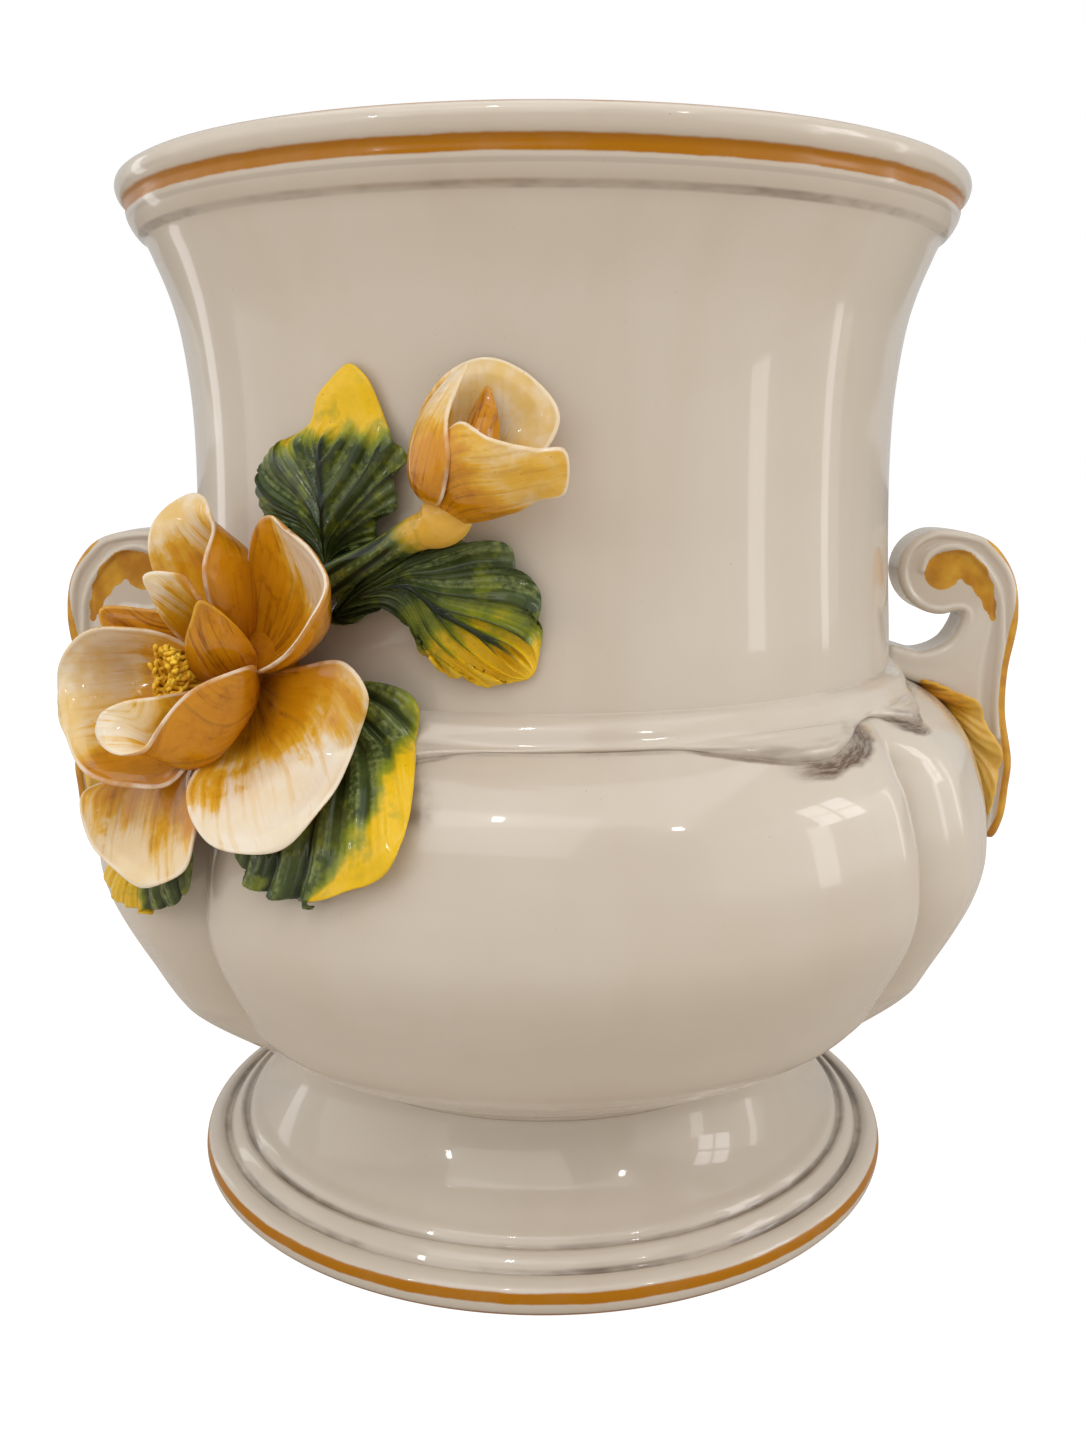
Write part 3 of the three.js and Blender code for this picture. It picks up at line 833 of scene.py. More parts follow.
    @staticmethod
    def _stain_and_shade_by_fold(s: Shader, swag: Swag, turn: Socket, below: Socket, worn: Socket, fine: Socket) -> Socket:
        """Stain and painted shade under one fold of the coil.

        Args:
            s: The shader it is part of.
            swag: The fold.
            turn: Degrees round the pot.
            below: Millimetres below the coil's edge where it has no fold.
            worn: Patchy noise that breaks up the stain and the painted shade.
            fine: Fine noise that unsettles the edges.

        Returns:
            How much stain and painted shade there is, from 0 to 1.
        """
        beyond = swag.beyond(turn + (fine - 0.5) * 2.0)
        hang = beyond.rise(0.5, swag.middle) * beyond.rise(swag.reach, swag.middle)
        under_edge = below - hang * (swag.sag * 0.52)
        wide = beyond.rise(1.5, 5.0) * beyond.rise(swag.middle * 1.45, swag.middle)
        drawn = s.noise(s.join(turn * 0.5, under_edge * 1.5, 0.0), 1.0, 3.0, 0.6).rise(0.35, 0.6)
        # Under the fold's edge the shoulder is darkened, a pool and a thin line of stain with painted shade;
        # the flecks on the fold are worn stain.
        pool_and_shade = (under_edge + (worn - 0.5) * 2.0).band(1.4, 1.0, 1.8) * wide
        trace = under_edge.band(0.4, 0.2, 0.6) * hang.rise(0.02, 0.25)
        flecks = under_edge.band(-2.0, 1.4, 1.4) * hang.rise(0.2, 0.8) * worn * 0.55
        return (pool_and_shade * (0.70 + drawn * 0.35)).highest(trace * (0.5 + worn * 0.4)).highest(flecks)


@dataclass(frozen=True)
class HandleGlaze:
    """The pot's ivory, with ochre where the scroll's mesh is marked for it and painted shade in its hollows.
    """

    gloss: Gloss = Gloss()

    def make(self) -> bpy.types.Material:
        """The material.

        Returns:
            The material, with its nodes.
        """
        s = Shader("handle_glaze")
        place = s.place()
        brush = s.noise(place, 110.0, 4.0, 0.6)
        colour = IvoryGlaze.body(s, place)
        # Painted shade: the hollows in the scroll's sides are darkened towards the warm tone.
        colour = s.mix(s.mark("hollow").rise(0.1, 1.0) * (0.25 + brush * 0.4), colour, WARM)
        ochre = (s.mark("ochre") + (brush - 0.5) * 0.35).rise(0.35, 0.6)
        tone = s.mix(s.noise(place, 90.0, 3.0, 0.5).rise(0.3, 0.7) * 0.75, LINE_OCHRE, HONEY)
        self.gloss.apply(s, s.mix(ochre * 0.97, colour, tone), ochre * 0.7)
        return s.material


class Wash(Enum):
    """Where the ochre lies.

    The numbers are how far it reaches from the root, how much more to the right, how much lies
    all over, how much gilt lies beyond it, and how much of it the outer side has.
    """

    SPREAD = (0.52, 0.0, 0.20, 0.45, 0.8)
    LOW = (0.42, 0.10, 0.14, 0.20, 0.6)
    STREAKED = (0.60, 0.20, 0.15, 0.50, 0.6)
    RIGHT_EDGE = (0.46, 0.60, 0.30, 0.85, 0.6)
    LEFT_EDGE = (0.40, -0.90, 0.08, 0.25, 0.8)
    FULL = (1.05, 0.0, 0.50, 0.90, 1.0)
    TIPPED = (0.62, 0.35, 0.45, 0.70, 0.9)
    CUPPED = (0.60, 0.10, 0.25, 0.50, 1.0)
    BUD = (0.50, 0.15, 0.60, 0.90, 0.35)
    PALE = (0.36, -0.30, 0.25, 0.95, 0.6)
    GOLDEN = (0.30, 0.0, 0.45, 1.0, 0.3)


@dataclass(frozen=True)
class PetalGlaze:
    """Brushed ochre over cream: gold where it thins, amber where it pools, and pale along the rim."""

    name: str
    wash: Wash = Wash.SPREAD
    ground: Colour = CREAM
    edge: Colour = CREAM
    gloss: Gloss = Gloss(roughness=0.28, coat=0.80, coat_roughness=0.03, ripple=0.0006, shine=0.05)

    def make(self) -> bpy.types.Material:
        """The material. The UV holds the way from root to tip and from edge to edge.

        Returns:
            The material, with its nodes.
        """
        reach, lean, all_over, gilt, outside = self.wash.value
        s = Shader(self.name)
        place = s.place()
        along, _, _ = s.split(s.node("ShaderNodeTexCoord", {}, {}, "UV"))
        fan = s.mark("fan") * 0.5
        cloud = s.noise(place, 55.0, 4.0, 0.6)
        mottle = s.noise(place, 130.0, 5.0, 0.7)
        streak = s.noise(s.join(along * 1.8, fan * 11.0, cloud * 0.8), 1.0, 5.0, 0.65)
        vein = s.noise(s.join(along * 1.2, fan * 22.0, cloud * 1.6), 1.0, 2.0, 0.5)
        brush = s.noise(s.join(along * 4.0, fan * 70.0, cloud * 2.0), 1.0, 3.0, 0.6)
        sideways = fan * lean
        spread = along + (streak - 0.5) * 0.75 + (cloud - 0.5) * 0.6 - sideways
        outer = s.mark("outer") * (outside * 0.9) + (cloud - 0.5) * 0.5
        throat = spread.rise(reach + 0.34, reach - 0.22).highest(outer.rise(0.15, 0.75))
        colour = s.mix((cloud.rise(0.3, 0.65) * gilt).lowest(1.0), self.ground, GILT)
        colour = s.mix(cloud.rise(0.42, 0.72) * all_over, colour, HONEY)
        colour = s.mix(throat.rise(0.0, 0.45), colour, HONEY)
        colour = s.mix(throat.rise(0.25, 0.85) * (0.70 + brush * 0.4), colour, PETAL_OCHRE)
        drawn = vein.rise(0.57, 0.66) * spread.rise(reach + 0.9, reach) * 0.35
        colour = s.mix(drawn, colour, HONEY)
        pooled = spread.rise(reach * 0.75, reach * 0.1) * 0.25 + streak.rise(0.54, 0.72) * 0.7
        worn = mottle.rise(0.50, 0.72) * 0.45 + brush.rise(0.55, 0.8) * 0.25 + vein.rise(0.56, 0.66) * 0.5
        colour = s.mix(((pooled + worn) * throat).lowest(0.88), colour, AMBER)
        rim = (s.mark("edge") + (cloud - 0.5) * 1.6).rise(1.15, 0.55)
        colour = s.mix(rim * (0.08 + cloud.rise(0.40, 0.62) * 0.70), colour, self.edge)
        colour = s.mix(s.specks(place, 230.0, 0.05) * 0.7, colour, AMBER)
        self.gloss.apply(s, colour)
        return s.material


class Lean(Enum):
    """Where a leaf turns yellow: how much by the way to the tip and to the right, and from what sum."""

    TIP = (1.0, 0.0, 0.60)
    TIP_AND_RIGHT = (0.9, 0.45, 0.58)
    RIGHT = (1.0, 1.2, 0.95)
    LEFT = (0.2, -1.1, 0.10)
    CALYX = (-1.0, 0.0, -0.38)


@dataclass(frozen=True)
class LeafGlaze:
    """Dark green with painted shade in the grooves and painted light on the ridges, running into yellow at
    one end or side.
    """

    name: str
    lean: Lean
    ripe: Colour = (0.81, 0.50, 0.012)
    green: Colour = (0.036, 0.056, 0.014)
    light: Colour = (0.21, 0.25, 0.075)
    dark: Colour = (0.004, 0.009, 0.004)
    lime: Colour = (0.24, 0.27, 0.018)
    gloss: Gloss = Gloss(roughness=0.30, coat=0.55, coat_roughness=0.03, ripple=0.0006, shine=0.05)

    def make(self) -> bpy.types.Material:
        """The material. The mesh marks how deep in a groove a point lies.

        Returns:
            The material, with its nodes.
        """
        by_along, by_across, start = self.lean.value
        s = Shader(self.name)
        place = s.place()
        along, across, _ = s.split(s.node("ShaderNodeTexCoord", {}, {}, "UV"))
        groove = s.mark("groove")
        cloud = s.noise(place, 70.0, 4.0, 0.6)
        brush = s.noise(place, 520.0, 3.0, 0.6)
        colour = s.mix(cloud.rise(0.35, 0.7) * 0.4, self.green, self.light)
        # Painted light: the ridges of the pleats are brushed lighter.
        colour = s.mix(groove.rise(0.22, 0.0) * brush.rise(0.35, 0.7) * 0.9, colour, self.light)
        blotch = s.noise(place, 160.0, 3.0, 0.6)
        tint = along * by_along + (across - 0.5) * by_across + (cloud - 0.5) * 0.45 - groove * 0.12
        colour = s.mix(tint.rise(start - 0.10, start + 0.04), colour, self.lime)
        colour = s.mix(tint.rise(start, start + 0.12) * (0.8 + brush * 0.3), colour, self.ripe)
        unripe = tint.rise(start + 0.45, start + 0.05) * blotch.rise(0.52, 0.68) * 0.5
        colour = s.mix(unripe, colour, self.lime)
        # Painted shade: the grooves are darkened almost to black-green.
        shade = groove.rise(0.40, 0.90) * tint.rise(start + 0.3, start - 0.02)
        colour = s.mix(shade * 0.94, colour, self.dark)
        colour = s.mix(s.specks(place, 260.0, 0.06) * tint.rise(start, start + 0.1), colour, self.green)
        self.gloss.apply(s, colour)
        return s.material


@dataclass(frozen=True)
class StamenGlaze:
    """Golden yellow with patches of umber."""

    gold: Colour = (0.90, 0.58, 0.04)
    umber: Colour = (0.55, 0.24, 0.006)

    def make(self) -> bpy.types.Material:
        """The material.

        Returns:
            The material, with its nodes.
        """
        s = Shader("stamen_glaze")
        colour = s.mix(s.noise(s.place(), 260.0, 3.0).rise(0.3, 0.6), self.umber, self.gold)
        Gloss(roughness=0.3, coat=0.3, shine=0.15).apply(s, colour)
        return s.material


# Thin sheets of clay


class Veins(Enum):
    """How the pleats of a sheet run."""

    NONE = "none"
    FAN = "fan"
    FEATHER = "feather"


@dataclass
class Sheet:
    """A thin curved sheet, named after its node, between two edges and a spine from root to tip.

    Its points are in the terms of the seat it is built on. Its pleats run as veins says, pleat_depth
    high, and push the edge lobes far out from lobes_from on. It is plain from plain_from on towards
    the tip and from plain_right on towards the right. The inside is a point that its inner side faces.
    """

    name: str
    root: Point
    tip: Point
    left: Sequence[Point]
    spine: Sequence[Point]
    right: Sequence[Point]
    thickness: float = 2.6
    veins: Veins = Veins.NONE
    pleats: float = 0.0
    pleat_depth: float = 0.0
    lobes: float = 0.0
    plain_from: float = 2.0
    plain_right: float = 2.0
    lobes_from: float = 0.02
    frill: float = 0.0
    fine_veins: float = 0.0
    slant: float = 0.30
    blunt: float = 0.008
    wash: Wash = Wash.SPREAD
    inside: Point = (0, 0, 45)
    along: int = 120
    across: int = 80
    edge_width: float = 5.0
    edge_thinning: float = 0.42
    crowding: float = 0.035

    def build(self, seat: Seat) -> bpy.types.Object:
        """Makes the sheet as a closed solid with a rounded edge.

        Args:
            seat: What turns the sheet's points into places on the pot.

        Returns:
            The object, with its way from root to tip and edge to edge in its UV.
        """
        even = np.linspace(0, 1, self.along + 1)
        crowded = np.clip(even + self.crowding * np.sin(2 * np.pi * even), 0, 1)
        u = self.blunt + (1 - 2 * self.blunt) * crowded
        v = np.sin(np.linspace(-np.pi / 2, np.pi / 2, self.across + 1))
        left, spine, right = (
            np.stack([np.interp(u, even, rail[:, k]) for k in range(3)], axis=1) for rail in self._rails(seat)
        )
        flatter = smooth_step(0.55, 0.97, u)[:, None]
        spine = spine + ((left + right) / 2 - spine) * flatter
        middle = spine[:, None] + (right - left)[:, None] * (v[None, :, None] / 2)
        middle = middle + ((left + right) / 2 - spine)[:, None] * (v[None, :, None] ** 2)
        uu, vv = np.meshgrid(u, v, indexing="ij")
        half = np.linalg.norm(right - left, axis=1)[:, None] / 2 + 1e-6
        length = np.linalg.norm(np.diff(spine, axis=0), axis=1).sum()
        fan = vv * np.where(np.arange(len(u))[:, None] <= half.argmax(), 1.0, half / half.max())
        ridge = self._ridge(uu, vv, half, length)
        middle = self._scalloped(middle, self._ridge(uu, vv, half, length, fine=0.0), uu, vv)
        normal = self._normals(middle)
        rise = smooth_step(0.0, 0.2, uu) * smooth_step(0.0, 0.25, np.abs(vv) + uu * 0.3)
        lift = self.pleat_depth * ridge * rise + self._frilled(uu, vv, fan)
        middle = middle + normal * lift[..., None]
        edge = self._edge_distance(middle)
        depth = self._half_depth(edge)[..., None]
        inward = np.array(seat.at(self.inside)) - middle.mean(axis=(0, 1))
        top_is_inner = float((normal @ inward).mean()) > 0
        marks = {"groove": (1 - ridge) / 2, "edge": edge, "fan": fan}
        return self._solid(middle + normal * depth, middle - normal * depth, uu, vv, marks, top_is_inner)

    def _frilled(self, uu: np.ndarray, vv: np.ndarray, fan: np.ndarray) -> np.ndarray:
        """How far the frill lifts the sheet's edges and tip, in millimetres.

        Args:
            uu: Share of the way from root to tip of each point.
            vv: Way across, from -1 to 1.
            fan: Way across, narrowing with the sheet towards its tip.

        Returns:
            The lift of each point.
        """
        wave = np.sin(11 * uu + 4 * fan + 1.3) + 0.6 * np.sin(23 * uu - 3 * fan)
        loose = np.maximum(np.abs(vv) ** 4, smooth_step(0.75, 1.0, uu)) * smooth_step(0.15, 0.5, uu)
        return self.frill * wave * loose

    @staticmethod
    def _edge_distance(middle: np.ndarray) -> np.ndarray:
        """Distance of each point of the sheet from its edge, in millimetres.

        Args:
            middle: The sheet's middle, as a grid of points.

        Returns:
            The distance of each point.
        """
        border = np.vstack([middle[:, 0], middle[-1], middle[::-1, -1], middle[0, ::-1]])[::2]
        distance = distance_to(middle.reshape(-1, 3), np.vstack([border, border[:1]]))
        return distance.reshape(middle.shape[:2])

    def _half_depth(self, edge: np.ndarray) -> np.ndarray:
        """Half the sheet's thickness, less towards the edge, which is round.

        Args:
            edge: Distance of each point from the edge, in millimetres.

        Returns:
            Half the thickness at each point.
        """
        round_off = np.clip(edge / (self.thickness / 2), 0, 1)
        thin = 1 - self.edge_thinning * smooth_step(self.edge_width, 1.0, edge)
        return self.thickness / 2 * thin * np.sqrt(np.clip(1 - (1 - round_off) ** 2, 0, 1))

    def _rails(self, seat: Seat) -> tuple[np.ndarray, np.ndarray, np.ndarray]:
        """The left edge, the spine and the right edge. The edges run round the tip as one smooth curve.

        Args:
            seat: Where the sheet is built on.

        Returns:
            Three curves with as many points each.
        """
        left, right = (list(edge) for edge in (self.left, self.right))
        around = spline([seat.at(p) for p in (self.root, *left, self.tip, *right[::-1], self.root)], 1200)
        turn = int(np.linalg.norm(around - np.array(seat.at(self.tip)), axis=1).argmin())
        spine = spline([seat.at(p) for p in (self.root, *self.spine, self.tip)], self.along + 1)
        return evenly(around[: turn + 1], self.along + 1), spine, evenly(around[turn:][::-1], self.along + 1)

    def _ridge(
        self, uu: np.ndarray, vv: np.ndarray, half: np.ndarray, length: float, fine: float | None = None
    ) -> np.ndarray:
        """The pleats, 1 on a ridge and -1 in a groove. They die out where the sheet is plain.

        Args:
            uu: Share of the way from root to tip of each point.
            vv: Way across, from -1 to 1.
            half: Half the sheet's width at each row.
            length: Length of the spine.
            fine: Depth of the fine veins, or None for the sheet's own.

        Returns:
            The height of each point, from -1 to 1.
        """
        if self.veins is Veins.NONE:
            return np.ones_like(uu)
        fan = np.arctan2(vv * half, (uu + 0.12) * length)
        feather = uu - self.slant * np.abs(vv) ** 0.8 + 0.03 * np.sin(5 * vv)
        way = self.pleats * (fan if self.veins is Veins.FAN else feather * np.pi)
        lobe = 2 * ((np.cos(way + 0.25 * np.sin(1.7 * way)) ** 2 + 0.03) / 1.03) ** 0.375 - 1
        veins = (self.fine_veins if fine is None else fine) * np.cos(way * 8 + 2 * np.sin(3 * uu))
        rib = np.exp(-((vv / 0.07) ** 2)) if self.veins is Veins.FEATHER else 0.0
        pleated = (lobe + veins) * (1 - rib) - rib
        plain = self._plain(uu, vv)
        return np.clip(pleated * (1 - plain) + plain, -1, 1)

    def _plain(self, uu: np.ndarray, vv: np.ndarray) -> np.ndarray:
        """How plain the sheet is: 0 where its pleats are whole, and more near its tip and on its right.

        Args:
            uu: Share of the way from root to tip of each point.
            vv: Way across, from -1 to 1.

        Returns:
            The share at each point.
        """
        at_tip = smooth_step(self.plain_from, self.plain_from + 0.14, uu)
        at_right = smooth_step(self.plain_right, self.plain_right + 0.3, vv + 0.5 * (uu - 0.6))
        return np.maximum(at_tip, 0.62 * at_right * smooth_step(0.30, 0.45, uu))

    def _scalloped(self, middle: np.ndarray, ridge: np.ndarray, uu: np.ndarray, vv: np.ndarray) -> np.ndarray:
        """Pushes the edge out where a ridge meets it and in where a groove does.

        Args:
            middle: The sheet's middle, as a grid of points.
            ridge: Height of the pleats, from -1 to 1.
            uu: Share of the way from root to tip of each point.
            vv: Way across, from -1 to 1.

        Returns:
            The grid with its edge pushed.
        """
        if not self.lobes:
            return middle
        aside = np.gradient(middle, axis=1)
        aside /= np.linalg.norm(aside, axis=2, keepdims=True) + 1e-9
        ahead = np.gradient(middle, axis=0)
        ahead /= np.linalg.norm(ahead, axis=2, keepdims=True) + 1e-9
        plain = 1 - self._plain(uu, vv)
        push = self.lobes * (ridge * 0.5 + 0.5) ** 0.7 * 2 * plain - self.lobes * plain
        half = np.linalg.norm(middle[:, -1] - middle[:, 0], axis=1)[:, None] / 2
        push = push * smooth_step(1.0, 0.90, uu) * smooth_step(1.0, 8.0, half)
        begun = smooth_step(self.lobes_from, self.lobes_from + 0.18, uu)
        sideways = push * np.abs(vv) ** 3 * np.sign(vv) * begun
        onward = push * smooth_step(0.75, 0.95, uu) * (0 if self.veins is Veins.FEATHER else 1)
        return middle + aside * sideways[..., None] + ahead * onward[..., None]

    def _normals(self, middle: np.ndarray) -> np.ndarray:
        """Normals of the sheet, steadied near the root and tip where its rows run together.

        Args:
            middle: The sheet's middle, as a grid of points.

        Returns:
            A unit vector for each point.
        """
        normal = np.cross(np.gradient(middle, axis=0), np.gradient(middle, axis=1))
        normal /= np.linalg.norm(normal, axis=2, keepdims=True) + 1e-9
        steady = self.along - 9
        share = smooth_step(steady - 6, self.along - 3, np.arange(self.along + 1.0))[:, None, None]
        normal = normal * (1 - share) + normal[steady].mean(axis=0) * share
        normal[:3] = normal[3]
        return normal / np.linalg.norm(normal, axis=2, keepdims=True)

    def _solid(
        self,
        top: np.ndarray,
        bottom: np.ndarray,
        uu: np.ndarray,
        vv: np.ndarray,
        marks: dict[str, np.ndarray],
        top_is_inner: bool,
    ) -> bpy.types.Object:
        """Joins the two sides along the edge, gives both the same marks, and marks the outer side.

        Args:
            top: Points of one side.
            bottom: Points of the other side.
            uu: Share of the way from root to tip of each point.
            vv: Way across, from -1 to 1.
            marks: A number for each point under each name.
            top_is_inner: True if the top is the inner side.

        Returns:
            The object.
        """
        rows, columns = uu.shape
        count = rows * columns
        faces = loop_faces(rows, columns, False, False)
        back = [tuple(count + i for i in reversed(face)) for face in faces]
        rim = [i * columns for i in range(rows)] + [(rows - 1) * columns + j for j in range(1, columns)]
        rim += [i * columns + columns - 1 for i in range(rows - 2, -1, -1)] + list(range(columns - 2, 0, -1))
        side = [(a, b, count + b, count + a) for a, b in zip(rim, rim[1:] + rim[:1])]
        points = np.vstack([top.reshape(-1, 3), bottom.reshape(-1, 3)])
        uv = np.tile(np.stack([uu, (vv + 1) / 2], axis=-1).reshape(-1, 2), (2, 1))
        on_both = {key: np.tile(values.ravel(), 2) for key, values in marks.items()}
        outer = np.repeat([0.0, 1.0] if top_is_inner else [1.0, 0.0], count)
        return mesh_object(f"{self.name}_form", points, faces + back + side, uv, {**on_both, "outer": outer})


def dress(piece: bpy.types.Object, material: bpy.types.Material) -> None:
    """Gives a piece its glaze, hangs it on the root body and hides the node it is named after.

    Args:
        piece: The visible piece.
        material: Its glaze.
    """
    piece.data.materials.clear()
    piece.data.materials.append(material)
    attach(piece, "root")
    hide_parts(piece.name.removesuffix("_form"))
    log.info("made %s with %d faces", piece.name, len(piece.data.polygons))


def lay_petal(petal: Sheet, seat: Seat) -> None:
    """Makes and dresses a petal. Its edge is pale, or honey where the petal is ochre all over.

    Args:
        petal: The petal's sheet.
        seat: Where it is built on.
    """
    edge = HONEY if petal.wash is Wash.FULL else CREAM
    glaze = PetalGlaze(f"{petal.name}_glaze", petal.wash, edge=edge).make()
    dress(petal.build(seat), glaze)


# The pot


@dataclass
class Pot:
    """Foot, belly, seam coil and neck."""

    form: PotForm
    base_thickness: float = 9.0
    base_recess: float = 2.0
    ring_width: float = 13.0

    def build(self, glaze: bpy.types.Material) -> None:
        """Makes and dresses the four parts.

        Args:
            glaze: The material of all four.
        """
        makers = {"foot": self.foot, "belly": self.belly, "joint_band": self.band, "neck": self.neck}
        for name, make in makers.items():
            dress(make(f"{name}_form"), glaze)

    def foot(self, name: str) -> bpy.types.Object:
        """Spreading foot, hollow above and slightly recessed beneath.

        Args:
            name: The object's name.

        Returns:
            The object.
        """
        f = self.form
        ring = f.foot_radius - 1.5 - self.ring_width
        inside = f.waist_radius - f.wall
        outer = spline(f.foot_outline(), 150)
        inner = [
            (inside, f.foot_height), (inside + 3, f.foot_height - 12), (inside + 10, self.base_thickness + 5),
            (inside + 8, self.base_thickness), (0, self.base_thickness), (0, self.base_recess),
            (ring - self.base_recess, self.base_recess), (ring, 0),
        ]
        return turned(name, np.vstack([outer, inner]), lambda a, z: np.zeros_like(a))

    def belly(self, name: str) -> bpy.types.Object:
        """Four-lobed bowl.

        Args:
            name: The object's name.

        Returns:
            The object.
        """
        f = self.form
        outer = spline(f.belly_outline(), 160)
        step = np.gradient(outer, axis=0)
        step /= np.linalg.norm(step, axis=1, keepdims=True)
        inner = (outer + f.wall * np.stack([-step[:, 1], step[:, 0]], axis=1))[::-4]
        low, high = f.foot_height + f.wall / 2, f.neck_bottom - f.wall / 2
        inner = inner[(inner[:, 1] > low) & (inner[:, 1] < high)]
        seam_end, waist_end = (f.neck_waist - f.wall, f.neck_bottom), (f.waist_radius - f.wall, f.foot_height)
        profile = np.vstack([outer, seam_end, inner, waist_end])
        return turned(name, profile, lambda a, z: -f.crease(a, z), f.columns())

    def band(self, name: str) -> bpy.types.Object:
        """Coil of clay smoothed over the seam, which hangs over the shoulder in soft folds by the creases.

        Args:
            name: The object's name.

        Returns:
            The object.
        """
        f, seam = self.form, self.form.neck_bottom
        front = self._band_front()
        ahead = np.gradient(front, axis=0)
        ahead /= np.linalg.norm(ahead, axis=1, keepdims=True)
        run = length_along(front)
        plain_edge = float(np.interp(-(seam - 1.9), -front[:, 1], run))

        angles = f.columns()
        hang, reach = f.folds(angles)
        last = plain_edge + reach
        eased = np.sin(np.linspace(0, np.pi / 2, 56))
        way = last[:, None] * eased[None, :]
        rolled = (0.9 + 1.8 * hang)[:, None]
        round_off = np.sqrt(np.clip(1 - np.clip((way - (last[:, None] - rolled)) / rolled, 0, 1) ** 2, 0, 1))
        lip = (0.55 + 2.6 * hang**0.7)[:, None] * smooth_step(plain_edge - 7, plain_edge + 1.5, way)
        a = np.radians(angles)[:, None]
        pressed = 0.35 * np.sin(7 * a + 0.3) + 0.25 * np.sin(17 * a) + 0.3 * np.sin(3 * a)
        pressed = pressed * smooth_step(2, 6, way) * smooth_step(plain_edge + 2, plain_edge - 2, way)
        outside = self._on_front(front, ahead, run, way, lip * round_off + pressed)

        back_way = np.linspace(1, 0, 16)[None, :] * (last - plain_edge + 2)[:, None] + plain_edge - 2
        under = self._on_front(front, ahead, run, back_way, np.full_like(back_way, -0.7))
        w = f.neck_waist
        corner = np.array([(w + 2.0, seam - 0.8), (w - 0.7, seam - 0.4), (w - 0.9, seam + 7.6)])
        inside = np.broadcast_to(corner, (len(angles), 3, 2))
        section = np.concatenate([outside, under, inside], axis=1)
        radius = section[..., 0] - f.crease(angles[:, None], section[..., 1])
        points = np.stack([radius * np.sin(a), -radius * np.cos(a), section[..., 1]], axis=-1).reshape(-1, 3)
        return mesh_object(name, points, loop_faces(len(angles), section.shape[1], True, True))

    def _band_front(self) -> np.ndarray:
        """The coil's front, as radius and height, from the neck down and on along the belly's shoulder.

        Returns:
            The points of the line.
        """
        f, seam = self.form, self.form.neck_bottom
        belly = spline(f.belly_outline(), 190)
        shoulder = belly[(belly[:, 1] < seam - 3.0) & (belly[:, 1] > seam - 30)][::-1]
        rows = [(-0.4, 8.0), (0.7, 7.2), (2.6, 6.4), (4.9, 4.9), (6.2, 2.6), (6.8, 0.4), (7.7, -1.3)]
        coil = spline([*((f.neck_waist + out, seam + up) for out, up in rows), tuple(shoulder[0])], 70)
        return np.vstack([coil, shoulder[1:]])

    @staticmethod
    def _on_front(
        front: np.ndarray, ahead: np.ndarray, run: np.ndarray, way: np.ndarray, out: np.ndarray
    ) -> np.ndarray:
        """Points some way along the coil's front, moved out from it.

        Args:
            front: The front's outline, as radius and height.
            ahead: Its direction at each point.
            run: How far along it each point lies.
            way: How far along it the wanted points lie.
            out: How far out from it they lie.

        Returns:
            Radius and height of each wanted point.
        """
        place = [np.interp(way, run, front[:, k]) for k in range(2)]
        slope = [np.interp(way, run, ahead[:, k]) for k in range(2)]
        return np.stack([place[0] - slope[1] * out, place[1] + slope[0] * out], axis=-1)

    def neck(self, name: str) -> bpy.types.Object:
        """Flared neck with its bead and lip.

        Args:
            name: The object's name.

        Returns:
            The object.
        """
        f = self.form
        outline = f.neck_outline()
        outer = spline(outline, 220)
        rows = [(r - f.wall, z) for r, z in outline if z <= f.height - f.lip_height - 9]
        edge, top = f.rim_radius - 2.6, f.height
        over = [(f.rim_radius - 5, top + 0.3), (edge - 0.6 * f.wall, top - 0.2),
                (edge - 1.1 * f.wall, top - 3)]
        lip = spline([outline[-1], *over, rows[-1]], 24)[1:-1]
        inner = spline(rows[::-1], 40)
        return turned(name, np.vstack([outer, lip, inner]), lambda a, z: np.zeros_like(a))


